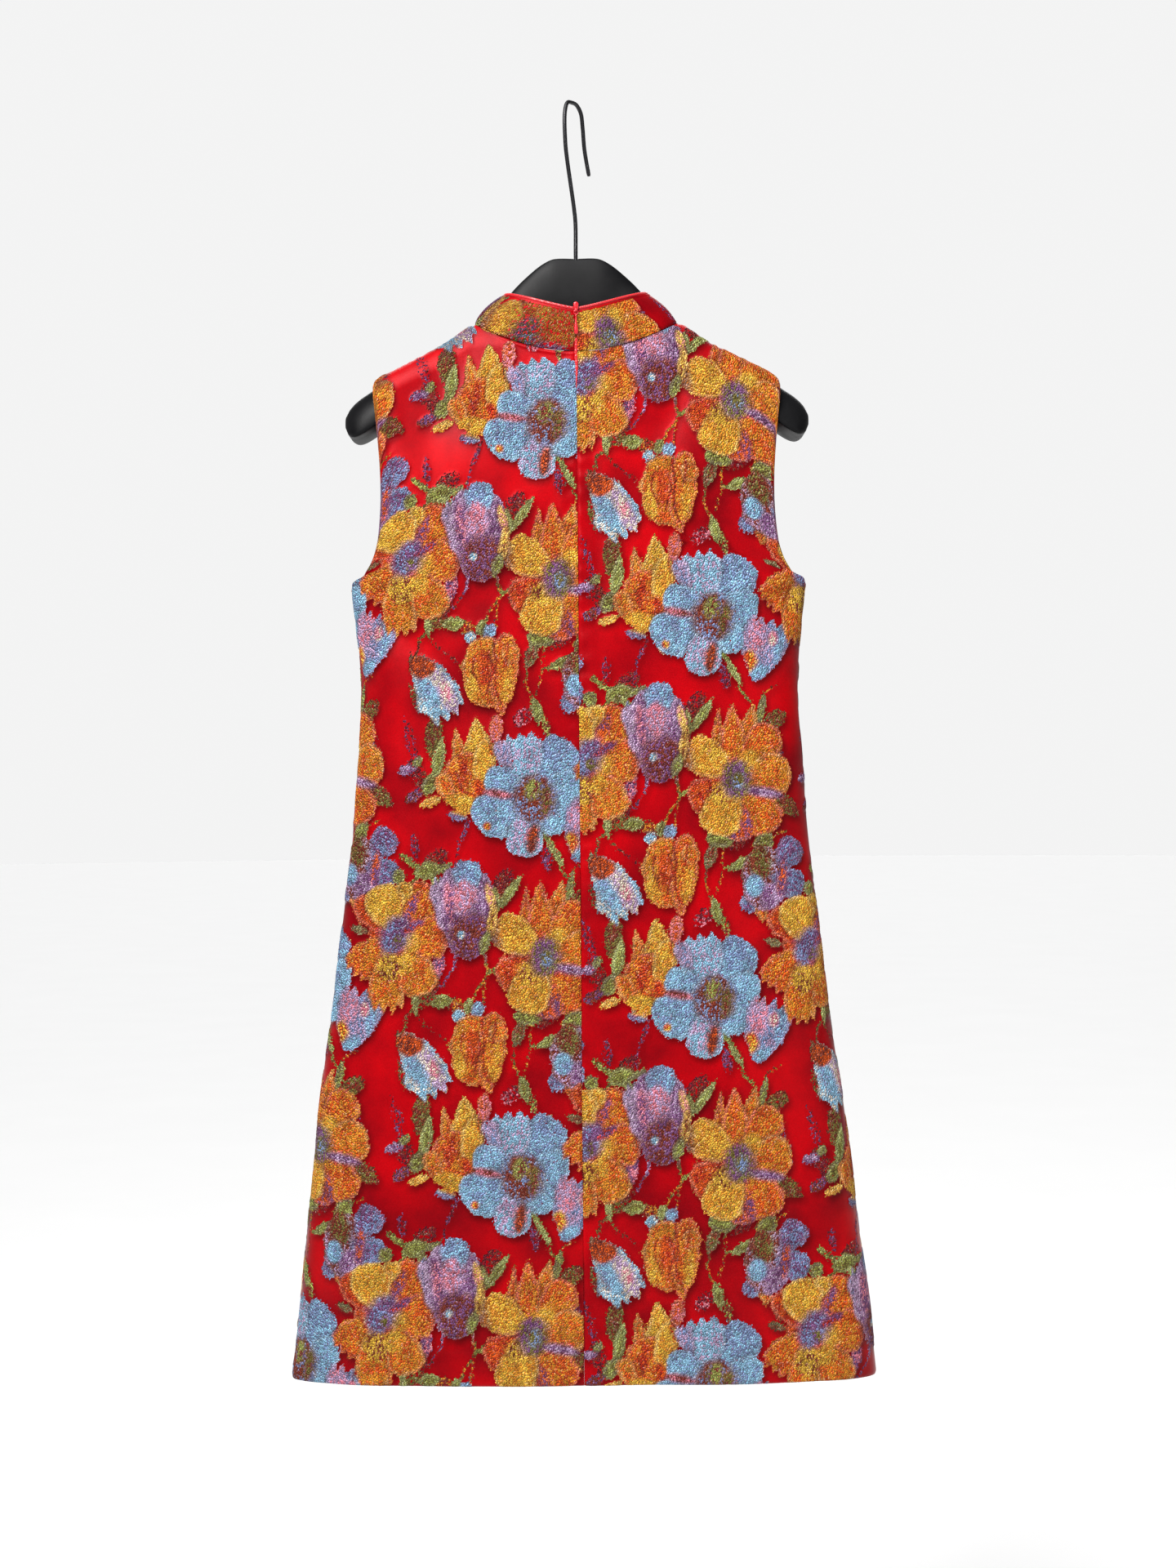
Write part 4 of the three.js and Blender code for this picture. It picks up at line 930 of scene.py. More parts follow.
def brocade_material(look):
    """Red satin with a figure of short coloured threads. Each cell of the grain is one float of thread: the
    figure shows where its share is above the cell's own chance, and a second chance picks one of two threads.
    Ground and figure have their own gloss, and fine ribs run across the satin."""
    material, tree, shader = new_material("flowered_brocade")
    cloth = add_node(tree, "UVMap", uv_map="cloth").outputs[0]
    figure = add_node(tree, "Attribute", attribute_name="figure").outputs["Fac"]
    share = add_node(tree, "Attribute", attribute_name="share").outputs["Fac"]
    painted_shadow = add_node(tree, "Attribute", attribute_name="painted_shadow").outputs["Fac"]
    first = add_node(tree, "Attribute", attribute_name="thread_a").outputs["Color"]
    second = add_node(tree, "Attribute", attribute_name="thread_b").outputs["Color"]
    slanted = add_node(tree, "Mapping", {"Vector": cloth, "Rotation": (0, 0, 0.5), "Scale": (1.0, 0.72, 1.0)})
    grain = add_node(tree, "TexVoronoi",
                     {"Vector": slanted.outputs[0], "Scale": 1 / look.grain, "Randomness": 1.0},
                     voronoi_dimensions="2D")
    chances = add_node(tree, "SeparateColor", {0: grain.outputs["Color"]})
    fine = add_node(tree, "TexVoronoi", {"Vector": cloth, "Scale": 1.9 / look.grain}, voronoi_dimensions="2D")
    fine_chance = add_node(tree, "SeparateColor", {0: fine.outputs["Color"]}).outputs[0]
    blotch = add_node(tree, "TexNoise", {"Vector": cloth, "Scale": 130.0, "Detail": 2.0},
                      noise_dimensions="2D").outputs[0]
    wide = add_node(tree, "TexNoise", {"Vector": cloth, "Scale": 16.0, "Detail": 3.0},
                    noise_dimensions="2D").outputs[0]
    patch = add_node(tree, "TexNoise", {"Vector": slanted.outputs[0], "Scale": 85.0, "Detail": 3.0},
                     noise_dimensions="2D").outputs[0]

    # the figure's edge, and its two threads
    torn = add_node(tree, "TexNoise", {"Vector": cloth, "Scale": 380.0, "Detail": 2.0},
                    noise_dimensions="2D").outputs[0]
    near = math_node(tree, "GREATER_THAN", figure, 0.02)
    ragged = math_node(tree, "MULTIPLY", math_node(tree, "SUBTRACT", torn, 0.5),
                       math_node(tree, "MULTIPLY", near, 2.1))
    figure = math_node(tree, "MULTIPLY_ADD", figure, 1.22, ragged)
    chance = ranged(tree, chances.outputs[0], 0.0, 1.0, 0.12, 0.88)
    shown = ranged(tree, math_node(tree, "SUBTRACT", figure, chance), -0.05, 0.05, 0.0, 1.0)
    tilted = math_node(tree, "MULTIPLY_ADD", math_node(tree, "SUBTRACT", blotch, 0.5), 1.5, share)
    picked = ranged(tree, math_node(tree, "SUBTRACT", tilted, chances.outputs[1]), -0.12, 0.12, 0.0, 1.0)
    threads = mix_colour(tree, picked, first, second)
    # brightness of each float: random tone, and on the brightest floats painted glints, lighter than the
    # threads' own colours
    value = ranged(tree, chances.outputs[2], 0.0, 1.0, look.thread_dark, look.thread_light)
    value = math_node(tree, "MULTIPLY", value, ranged(tree, patch, 0.3, 0.7, 0.74, 1.2))
    value = math_node(tree, "MULTIPLY", value, ranged(tree, fine_chance, 0.0, 1.0, 0.82, 1.22))
    # the palest floats turn cream: partly near-white threads, partly painted glints
    pale = math_node(tree, "GREATER_THAN", math_node(tree, "ADD", chances.outputs[2], fine_chance), 1.72)
    threads = add_node(tree, "VectorMath", {0: threads, "Scale": value}, operation="SCALE").outputs[0]
    threads = mix_colour(tree, math_node(tree, "MULTIPLY", pale, 0.45), threads, (0.86, 0.78, 0.66, 1.0))

    # the ground: satin, a little deeper in places, with stray specks, and a painted shadow beside the figure
    depth = ranged(tree, wide, 0.3, 0.7, 0.0, 1.0)
    ground = mix_colour(tree, depth, opaque(look.ground_deep), opaque(look.ground))
    ground_tone = ranged(tree, fine_chance, 0.0, 1.0, 0.86, 1.1)
    # painted shadow: the ground darkens beside the figure, down and to the right of it
    ground_tone = math_node(tree, "MULTIPLY", ground_tone, ranged(tree, painted_shadow, 0.0, 1.0, 1.0, 0.3))
    ground = add_node(tree, "VectorMath", {0: ground, "Scale": ground_tone}, operation="SCALE").outputs[0]
    colour = mix_colour(tree, shown, ground, threads)
    tree.links.new(colour, shader.inputs["Base Color"])
    tree.links.new(ranged(tree, shown, 0.0, 1.0, 0.36, 0.62), shader.inputs["Roughness"])

    # relief of the floats, and the satin's ribs
    ribs = add_node(tree, "TexWave", {"Vector": cloth, "Scale": 480.0, "Distortion": 1.2, "Detail": 1.0},
                    wave_type="BANDS", bands_direction="Y").outputs["Fac"]
    floats = math_node(tree, "MULTIPLY_ADD", grain.outputs["Distance"], -260.0, chances.outputs[2])
    height = math_node(tree, "MULTIPLY", shown, math_node(tree, "MULTIPLY_ADD", floats, 0.55, 0.9))
    height = math_node(tree, "ADD", height, math_node(tree, "MULTIPLY", ribs, 0.05))
    height = math_node(tree, "MULTIPLY_ADD", math_node(tree, "MULTIPLY", blotch, shown), 2.2, height)
    bumped(tree, shader, height, look.thread_height)
    shader.inputs["Specular IOR Level"].default_value = 0.36
    shader.inputs["Specular Tint"].default_value = (1.0, 0.12, 0.14, 1.0)
    shader.inputs["Sheen Weight"].default_value = 0.04
    shader.inputs["Sheen Roughness"].default_value = 0.35
    shader.inputs["Sheen Tint"].default_value = (1.0, 0.4, 0.45, 1.0)
    return material


def reverse_material(look):
    """The cloth's plain reverse: dull red with loose coloured floats."""
    material, tree, shader = new_material("brocade_reverse")
    cloth = add_node(tree, "UVMap", uv_map="cloth").outputs[0]
    cells = add_node(tree, "TexVoronoi", {"Vector": cloth, "Scale": 0.7 / look.grain},
                     voronoi_dimensions="2D")
    chance = add_node(tree, "SeparateColor", {0: cells.outputs["Color"]}).outputs[0]
    drawn = add_node(tree, "TexNoise", {"Vector": cloth, "Scale": 320.0, "Detail": 3.0},
                     noise_dimensions="2D").outputs[0]
    colour = mix_colour(tree, chance, opaque(look.ground_deep, 0.55), opaque(look.ground, 0.8))
    tree.links.new(colour, shader.inputs["Base Color"])
    bumped(tree, shader, math_node(tree, "ADD", drawn, chance), look.thread_height)
    shader.inputs["Roughness"].default_value = 0.7
    shader.inputs["Sheen Weight"].default_value = 0.15
    return material


def satin_trim_material(look):
    """Plain red satin of the rolled edge and the zip: fine slanting ribs, and tone that drifts slowly."""
    material, tree, shader = new_material("plain_red_satin")
    place = add_node(tree, "TexCoord").outputs["Object"]
    drift = add_node(tree, "TexNoise", {"Vector": place, "Scale": 60.0, "Detail": 3.0}).outputs[0]
    ribs = add_node(tree, "TexWave", {"Vector": place, "Scale": 260.0, "Distortion": 0.6}, wave_type="BANDS",
                    bands_direction="DIAGONAL").outputs["Fac"]
    colour = mix_colour(tree, drift, opaque(look.trim, 0.72), opaque(look.trim))
    tree.links.new(colour, shader.inputs["Base Color"])
    tree.links.new(ranged(tree, drift, 0.3, 0.7, 0.26, 0.38), shader.inputs["Roughness"])
    bumped(tree, shader, ribs, 0.00012)
    shader.inputs["Sheen Weight"].default_value = 0.3
    shader.inputs["Sheen Tint"].default_value = (1.0, 0.6, 0.6, 1.0)
    return material


def enamel_material(look):
    """Red enamel over metal: glossy, with faint orange peel and rubbed patches."""
    material, tree, shader = new_material("red_enamel")
    place = add_node(tree, "TexCoord").outputs["Object"]
    peel = add_node(tree, "TexNoise", {"Vector": place, "Scale": 900.0, "Detail": 2.0}).outputs[0]
    rubbed = add_node(tree, "TexNoise", {"Vector": place, "Scale": 260.0, "Detail": 4.0}).outputs[0]
    colour = mix_colour(tree, rubbed, opaque(look.enamel, 0.6), opaque(look.enamel))
    tree.links.new(colour, shader.inputs["Base Color"])
    tree.links.new(ranged(tree, rubbed, 0.3, 0.7, 0.16, 0.34), shader.inputs["Roughness"])
    bumped(tree, shader, peel, 0.00006)
    shader.inputs["Metallic"].default_value = 0.25
    shader.inputs["Coat Weight"].default_value = 0.6
    shader.inputs["Coat Roughness"].default_value = 0.12
    return material


def plastic_material(look):
    """Moulded black plastic: a fine moulded grain, soft wipe marks, and dust in soft patches that dulls it a
    little."""
    material, tree, shader = new_material("black_moulded_plastic")
    place = add_node(tree, "TexCoord").outputs["Object"]
    moulded = add_node(tree, "TexNoise", {"Vector": place, "Scale": 1400.0, "Detail": 3.0}).outputs[0]
    wiped = add_node(tree, "TexNoise", {"Vector": place, "Scale": 34.0, "Detail": 4.0}).outputs[0]
    dusty = tuple(value + 0.006 for value in look.hanger) + (1.0,)
    dust = math_node(tree, "MULTIPLY", ranged(tree, wiped, 0.45, 0.75, 0.0, 1.0), 0.5)
    tree.links.new(mix_colour(tree, dust, opaque(look.hanger), dusty), shader.inputs["Base Color"])
    tree.links.new(ranged(tree, wiped, 0.3, 0.7, 0.34, 0.5), shader.inputs["Roughness"])
    bumped(tree, shader, moulded, 0.00008)
    shader.inputs["Specular IOR Level"].default_value = 0.1
    return material


def wire_material(look):
    """Black-coated steel wire: drawn lines along it and small worn spots where bare metal shows."""
    material, tree, shader = new_material("black_coated_wire")
    place = add_node(tree, "TexCoord").outputs["Object"]
    stretched = add_node(tree, "Mapping", {"Vector": place, "Scale": (1.0, 1.0, 0.06)}).outputs[0]
    drawn = add_node(tree, "TexNoise", {"Vector": stretched, "Scale": 2600.0, "Detail": 2.0}).outputs[0]
    worn = add_node(tree, "TexNoise", {"Vector": place, "Scale": 420.0, "Detail": 5.0}).outputs[0]
    bare = ranged(tree, worn, 0.66, 0.72, 0.0, 1.0)
    colour = mix_colour(tree, bare, opaque(look.wire), (0.18, 0.18, 0.19, 1.0))
    tree.links.new(colour, shader.inputs["Base Color"])
    tree.links.new(ranged(tree, worn, 0.3, 0.7, 0.22, 0.4), shader.inputs["Roughness"])
    bumped(tree, shader, drawn, 0.00005)
    shader.inputs["Metallic"].default_value = 0.55
    return material


def floor_material(look):
    """Pale matt floor with very faint unevenness."""
    material, tree, shader = new_material("pale_floor")
    place = add_node(tree, "TexCoord").outputs["Object"]
    uneven = add_node(tree, "TexNoise", {"Vector": place, "Scale": 3.0, "Detail": 3.0}).outputs[0]
    colour = mix_colour(tree, uneven, opaque(look.floor, 0.97), opaque(look.floor))
    tree.links.new(colour, shader.inputs["Base Color"])
    shader.inputs["Roughness"].default_value = 0.9
    return material


# ---------------------------------------------------------------- settings


class CheongsamLook(bpy.types.PropertyGroup):
    """Sizes and colours of the dress's finish."""

    wall: FloatProperty(name="Cloth Wall", description="Thickness of the brocade", default=0.0015,
                        unit="LENGTH", subtype="DISTANCE")
    collar_wall: FloatProperty(name="Collar Wall", description="Thickness of the interlined collar",
                               default=0.0018, unit="LENGTH", subtype="DISTANCE")
    puff: FloatProperty(name="Figure Puff", description="How far the woven flowers stand out of the ground",
                        default=0.0009, unit="LENGTH", subtype="DISTANCE")
    grain: FloatProperty(name="Thread Grain", description="Width of one float of thread", default=0.00125,
                         unit="LENGTH", subtype="DISTANCE")
    thread_height: FloatProperty(name="Thread Height", description="Relief of the thread floats",
                                 default=0.0005, unit="LENGTH", subtype="DISTANCE")
    thread_dark: FloatProperty(name="Thread Dark", description="Brightness of the darkest floats",
                               default=0.74, subtype="FACTOR")
    # over 1, the lightest floats carry painted glints as well as their own tone
    thread_light: FloatProperty(name="Thread Light", description="Brightness of the lightest floats",
                                default=1.72, subtype="FACTOR")
    ground: FloatVectorProperty(name="Ground", description="Red of the satin ground", size=3, subtype="COLOR",
                                default=(0.33, 0.0, 0.002))
    ground_deep: FloatVectorProperty(name="Ground Deep", description="Red of the ground where it lies deeper",
                                     size=3, subtype="COLOR", default=(0.14, 0.0, 0.002))
    trim: FloatVectorProperty(name="Trim", description="Red of the rolled edge and the zip", size=3,
                              subtype="COLOR", default=(0.50, 0.0, 0.006))
    enamel: FloatVectorProperty(name="Enamel", description="Red of the slider and its pull", size=3,
                                subtype="COLOR", default=(0.62, 0.008, 0.018))
    hanger: FloatVectorProperty(name="Hanger", description="Black of the hanger", size=3, subtype="COLOR",
                                default=(0.003, 0.003, 0.0035))
    wire: FloatVectorProperty(name="Wire", description="Black of the hook's coating", size=3, subtype="COLOR",
                              default=(0.012, 0.012, 0.014))
    floor: FloatVectorProperty(name="Floor", description="Colour of the floor", size=3, subtype="COLOR",
                               default=(0.93, 0.93, 0.93))


# ---------------------------------------------------------------- pieces


def finish_piece(piece, body, slot, *replaced):
    """Puts a piece on its body and hides the solids it stands for. slot, the slot it would take its finish
    from, is not used.
    """
    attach(piece, body)
    if replaced:
        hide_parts(*replaced)
    return piece


def cloth_materials(look):
    """The brocade's right side and its reverse, made once and shared by all the cloth."""
    right = bpy.data.materials.get("flowered_brocade") or brocade_material(look)
    wrong = bpy.data.materials.get("brocade_reverse") or reverse_material(look)
    return [right, wrong]


def trim_material(look):
    """The plain satin, made once and shared by every piece in it."""
    return bpy.data.materials.get("plain_red_satin") or satin_trim_material(look)


def edge_relief(column, length, rise):
    """How the cloth's edges and seams shape it: turned edges curl in over a raised rim at the armhole and
    neckline, seams sink to a line with small puckers beside them, and the hem's fold shows as a faint
    ridge."""
    from_side = SECTIONS.length_to(rise["side_z"], rise["side_x"]) - length
    from_hem = rise["up"] - rise["up"][:, :1]
    from_top = rise["up"][:, -1:] - rise["up"]
    armhole = smoothstep(rise["side_z"], UNDERARM_Z - 2, UNDERARM_Z + 6)
    neck = column <= NECK_COLUMNS
    relief = -0.75 * bell(from_hem, 0, 1.1) + 0.25 * bell(from_hem, 31, 2.2)
    relief += np.where(neck, -0.7 * bell(from_top, 0, 1.0) + 0.55 * bell(from_top, 2.4, 1.5), 0)
    relief += np.where(neck, 0, -0.6 * bell(from_top, 0, 1.3))
    shoulder_pucker = 0.3 * np.sin(length * 0.9 + 2.0 * np.sin(length * 0.17))
    relief += np.where(neck, 0, shoulder_pucker * bell(from_top, 4, 4.5))
    relief += armhole * (-0.75 * bell(from_side, 0, 1.0) + 0.6 * bell(from_side, 2.6, 1.6))
    relief += armhole * 0.2 * np.sin(rise["up"] * 0.55) * bell(from_side, 7, 5)
    relief += (1 - armhole) * -0.5 * bell(from_side, 0, 1.4)
    return relief


def panel_surface(facing, side, neck_z, columns, rows):
    """Outer face of a panel, undisplaced: points, normals, lengths across and up the cloth, and what its
    edges need. facing is -1 for the back and 1 for the front; side is 1 or -1 for a half and 0 for the whole.
    Columns run to the right as seen from outside."""
    place = panel_rows(rows)
    if side:
        steps = edged_steps(columns, HALF_PANEL_WIDTH) * ALL_COLUMNS
        signed = steps if side > 0 else -steps[::-1]
    else:
        steps = edged_steps(columns, 2 * HALF_PANEL_WIDTH) * 2 - 1
        signed = steps * ALL_COLUMNS
    at_side = np.abs(signed) > ALL_COLUMNS - 1e-9
    signed[at_side] = np.sign(signed[at_side]) * ALL_COLUMNS
    column, place = np.meshgrid(np.abs(signed), place, indexing="ij")
    x, z, half_depth, length = half_panel(column, place, neck_z)
    hand = np.sign(signed)[:, None] if not side else float(side)
    seen_right = hand if facing < 0 else -hand
    y = facing * (half_depth + SEAM_SLIT)
    points = np.stack([seen_right * x + side * SEAM_SLIT, y, z], axis=-1)
    side_z = HEM_Z + SIDE_HEIGHT * place
    seamed = side_z <= UNDERARM_Z + 1e-6
    ridge = ((place >= 1) & (column >= NECK_COLUMNS)) | ((column >= ALL_COLUMNS) & seamed)
    normals = grid_normals(points, ridge, (column == 0) & (side != 0))
    climb = np.hypot(np.diff(points[..., 1], axis=1), np.diff(z, axis=1))
    up = np.concatenate([z[:, :1], z[:, :1] + np.cumsum(climb, axis=1)], axis=1)
    side_x = np.where(seamed, body_half_width(side_z), armhole_x(side_z))
    rise = {"up": up, "side_z": side_z, "side_x": side_x}
    across = (hand if side else np.sign(signed)[:, None]) * length
    return points, normals, column, length, across, rise


def make_panel(name, facing, side, neck_z, columns, rows, lay, crease_rows, look, seed):
    """A cut piece of the dress: its surface, woven, puffed, creased and edged, and closed into a wall."""
    points, normals, column, length, across, rise = panel_surface(facing, side, neck_z, columns, rows)
    up = rise["up"]
    cloth = weave(across, up, PATTERN_LAY[lay])
    relief = edge_relief(column, length, rise)
    from_centre = length if side else np.full_like(length, FAR)
    zipped = smoothstep(up, *ZIP_FADE)
    relief += -0.85 * bell(from_centre, 0, 1.1)
    pucker = np.sin(up * 0.42 + 1.6 * np.sin(up * 0.061) + seed)
    relief += pucker * (0.12 + 0.2 * zipped) * bell(from_centre, 5.5, 5.5)
    soft = 1.8 * creases(across, up, crease_rows) + 1.6 * drape_ripple(across, up, seed)
    edge_hold = smoothstep(up[:, -1:] - up, 0, 26) * smoothstep(from_centre, 0, 14)
    side_hold = smoothstep(SECTIONS.length_to(rise["side_z"], rise["side_x"]) - length, 0, 12)
    soft = soft * edge_hold * (0.25 + 0.75 * side_hold)
    hold = smoothstep(side_hold * edge_hold, 0, 0.3)
    lift = cloth.lift * look.puff / MM * (0.3 + 0.7 * hold)
    outer = points + normals * (relief + soft + lift)[..., None]
    shell_soft = (soft * 0.9)[..., None]
    inner = points + normals * (shell_soft - look.wall / MM)
    uv = np.stack([across + PANEL_MAP_START, up + MAP_START_UP], axis=-1)
    piece = cloth_shell(name, outer, inner, INNER_STEP, cloth, uv, cloth_materials(look))
    return piece, one_face_area(points)


def collar_surface(columns, rows):
    """The collar's outer face. Its foot follows the neckline from the right of the zip round the front to the
    left of it; its top is an oval that dips at the back and the front. Gives points, normals and lengths."""
    quarter = np.linspace(0, NECK_COLUMNS, columns // 4 + 1)
    feet = []
    for facing, hand, steps, side in ((-1, 1, quarter, 1), (1, 1, quarter[::-1], 0), (1, -1, quarter[1:], 0),
                                      (-1, -1, quarter[::-1], -1)):
        neck_z = NECK_BACK_Z if facing < 0 else NECK_FRONT_Z
        x, z, half_depth, _ = half_panel(steps, np.ones_like(steps), neck_z)
        feet.append(np.stack([hand * x + side * HALF_GAP, facing * (half_depth + HALF_GAP), z], axis=-1))
    foot = np.concatenate(feet)[:, None, :]
    rise = edged_steps(rows, 36.0, 1.0, 2)[None, :]
    front = foot[..., 1] > 0
    hand = np.sign(foot[..., 0])
    out = np.minimum(np.abs(foot[..., 0]) / NECK_X, 1)
    depth = np.where(front, COLLAR_FRONT_DEPTH, COLLAR_BACK_DEPTH)
    centre_z = np.where(front, COLLAR_FRONT_Z, COLLAR_BACK_Z)
    power = np.where(front, COLLAR_FRONT_POWER, COLLAR_BACK_POWER)
    top_x = np.where(np.abs(foot[..., 0]) <= HALF_GAP + 1e-6, foot[..., 0], hand * COLLAR_HALF_WIDTH * out)
    top_y = np.where(front, 1, -1) * (depth * np.sqrt(1 - out**2) + HALF_GAP)
    top_z = centre_z + (COLLAR_SIDE_Z - centre_z) * out**power
    bulge = COLLAR_BULGE * np.sin(math.pi * rise) * out
    foot_z = foot[..., 2] + COLLAR_FOOT_GAP
    points = np.stack([
        foot[..., 0] * (1 - rise) + top_x * rise + hand * bulge,
        foot[..., 1] * (1 - rise) + top_y * rise,
        foot_z * (1 - rise) + top_z * rise + 0.6 * bulge,
    ], axis=-1)
    ends = np.zeros(points.shape[:2], bool)
    ends[0], ends[-1] = True, True
    normals = grid_normals(points, np.zeros_like(ends), ends)
    pinched = np.linalg.norm(normals, axis=2) < 0.5
    normals[pinched] = np.stack([hand + 0 * rise, 0 * points[..., 1], 0 * points[..., 1]], axis=-1)[pinched]
    steps = np.linalg.norm(np.diff(points[:, 0], axis=0), axis=1)
    across = np.concatenate([[0], np.cumsum(steps)])[:, None] + 0 * rise
    climb = np.linalg.norm(np.diff(points, axis=1), axis=2)
    up = np.concatenate([points[:, :1, 2], points[:, :1, 2] + np.cumsum(climb, axis=1)], axis=1)
    return points, normals, across, up


def tape_faces(across, up):
    """The zip tape's outer and inner faces, in the hollow of the back. It follows the cloth's half depth
    below the neck seam and the collar's oval above it, a wall and a gap further in. On its inner face the
    coil stands up along the middle as a bell with turns, over the tape's fine herringbone."""
    share = smoothstep(up, NECK_BACK_Z - 3, NECK_BACK_Z + 3)
    body = cloth_half_depth(np.abs(across), np.minimum(up, NECK_BACK_Z))
    at_seam = cloth_half_depth(np.abs(across), np.full_like(up, NECK_BACK_Z))
    top = COLLAR_BACK_DEPTH * np.sqrt(1 - (across / COLLAR_HALF_WIDTH) ** 2)
    rise = np.clip((up - NECK_BACK_Z) / (COLLAR_BACK_Z - NECK_BACK_Z), 0, 1)
    depth = body * (1 - share) + (at_seam + (top - at_seam) * rise) * share
    y = -(depth + HALF_GAP) + TAPE_SET_IN
    herringbone = 0.06 * np.sin(2 * math.pi * (up / 3.1 + np.abs(across) / 2.2))
    coil = bell(across, 0, 1.9) * (0.95 + 0.3 * np.sin(2 * math.pi * up / 2.2))
    outer = np.stack([across, y, up], axis=-1)
    inner = np.stack([across, y + TAPE_CLOTH + herringbone + coil, up], axis=-1)
    return outer, inner


class CHEONGSAM_OT_back_panels(bpy.types.Operator):
    """Make the two halves of the back, left and right of the zip"""

    bl_idname = "cheongsam.back_panels"
    bl_label = "Back Panels"

    def execute(self, context):
        look = context.scene.cheongsam_look
        # side, lay of the pattern, creases, where the waves start, and the node it stands for
        halves = (
            (1, "back_right", BACK_RIGHT_CREASES, 0.4, "back_panel_right"),
            (-1, "back_left", BACK_LEFT_CREASES, 2.1, "back_panel_left"),
        )
        for side, lay, rows, seed, node in halves:
            piece, area = make_panel("brocade_" + lay, -1, side, NECK_BACK_Z, *BACK_CELLS, lay, rows, look,
                                     seed)
            finish_piece(piece, "dress", "brocade", node)
        return {"FINISHED"}


class CHEONGSAM_OT_front_panel(bpy.types.Operator):
    """Make the whole front, cut on the fold"""

    bl_idname = "cheongsam.front_panel"
    bl_label = "Front Panel"

    def execute(self, context):
        look = context.scene.cheongsam_look
        piece, area = make_panel("brocade_front", 1, 0, NECK_FRONT_Z, *FRONT_CELLS, "front", FRONT_CREASES,
                                 look, 4.0)
        finish_piece(piece, "dress", "brocade", "front_panel")
        return {"FINISHED"}


class CHEONGSAM_OT_collar(bpy.types.Operator):
    """Make the mandarin collar and the rolled edge along its top"""

    bl_idname = "cheongsam.collar"
    bl_label = "Collar"

    def execute(self, context):
        look = context.scene.cheongsam_look
        points, normals, across, up = collar_surface(*COLLAR_CELLS)
        cloth = weave(across, up, PATTERN_LAY["collar"])
        from_foot, from_top = up - up[:, :1], up[:, -1:] - up
        from_end = np.minimum(across, across.max() - across)
        plain = smoothstep(from_top, 2.2, 3.4)
        # painted shade on the collar's left end: the thread colours are darkened by half; the figure is also
        # thinned there, for a plainer stretch of pattern
        shaded = smoothstep(across, *COLLAR_PAINTED_SHADE_END)
        plain = plain * (1 - 0.4 * shaded)
        for colour in (cloth.first, cloth.second):
            colour *= (1 - 0.5 * shaded)[..., None]
        cloth.figure *= plain
        cloth.lift *= plain
        relief = -0.8 * bell(from_foot, 0, 1.3) - 0.4 * bell(from_top, 0, 0.8)
        relief += 0.35 * bell(from_top, 1.6, 0.9) - 0.25 * bell(from_top, 3.2, 0.7)
        relief += -0.8 * bell(from_end, 0, 1.0)
        soft = creases(across, up, COLLAR_CREASES) + 0.25 * np.sin(across * 0.11 + 1.0)
        soft = soft * smoothstep(from_foot, 0, 8) * smoothstep(from_top, 0, 8) * smoothstep(from_end, 0, 8)
        outer = points + normals * (relief + soft + cloth.lift * look.puff / MM * 0.8)[..., None]
        inner = points - normals * (look.collar_wall / MM)
        uv = np.stack([across + COLLAR_MAP_START, up + MAP_START_UP], axis=-1)
        collar = cloth_shell("brocade_collar", outer, inner, INNER_STEP, cloth, uv, cloth_materials(look))
        finish_piece(collar, "dress", "brocade", "collar")
        top = points[:, -1] - normals[:, -1] * (look.collar_wall / MM / 2)
        rise = points[:, -1] - points[:, -4]
        rise /= np.linalg.norm(rise, axis=1, keepdims=True)
        path = top + rise * (PIPING_RADIUS - PIPING_SUNK)
        radii = PIPING_RADIUS * (1 + 0.04 * np.sin(across[:, 0] * 1.9 + 2 * np.sin(across[:, 0] * 0.3)))
        bead = tube("rolled_edge", path, np.stack([radii, radii], axis=1), 12, [trim_material(look)],
                    across=(0, 0, 1))
        finish_piece(bead, "dress", "satin_trim", "collar_piping")
        return {"FINISHED"}


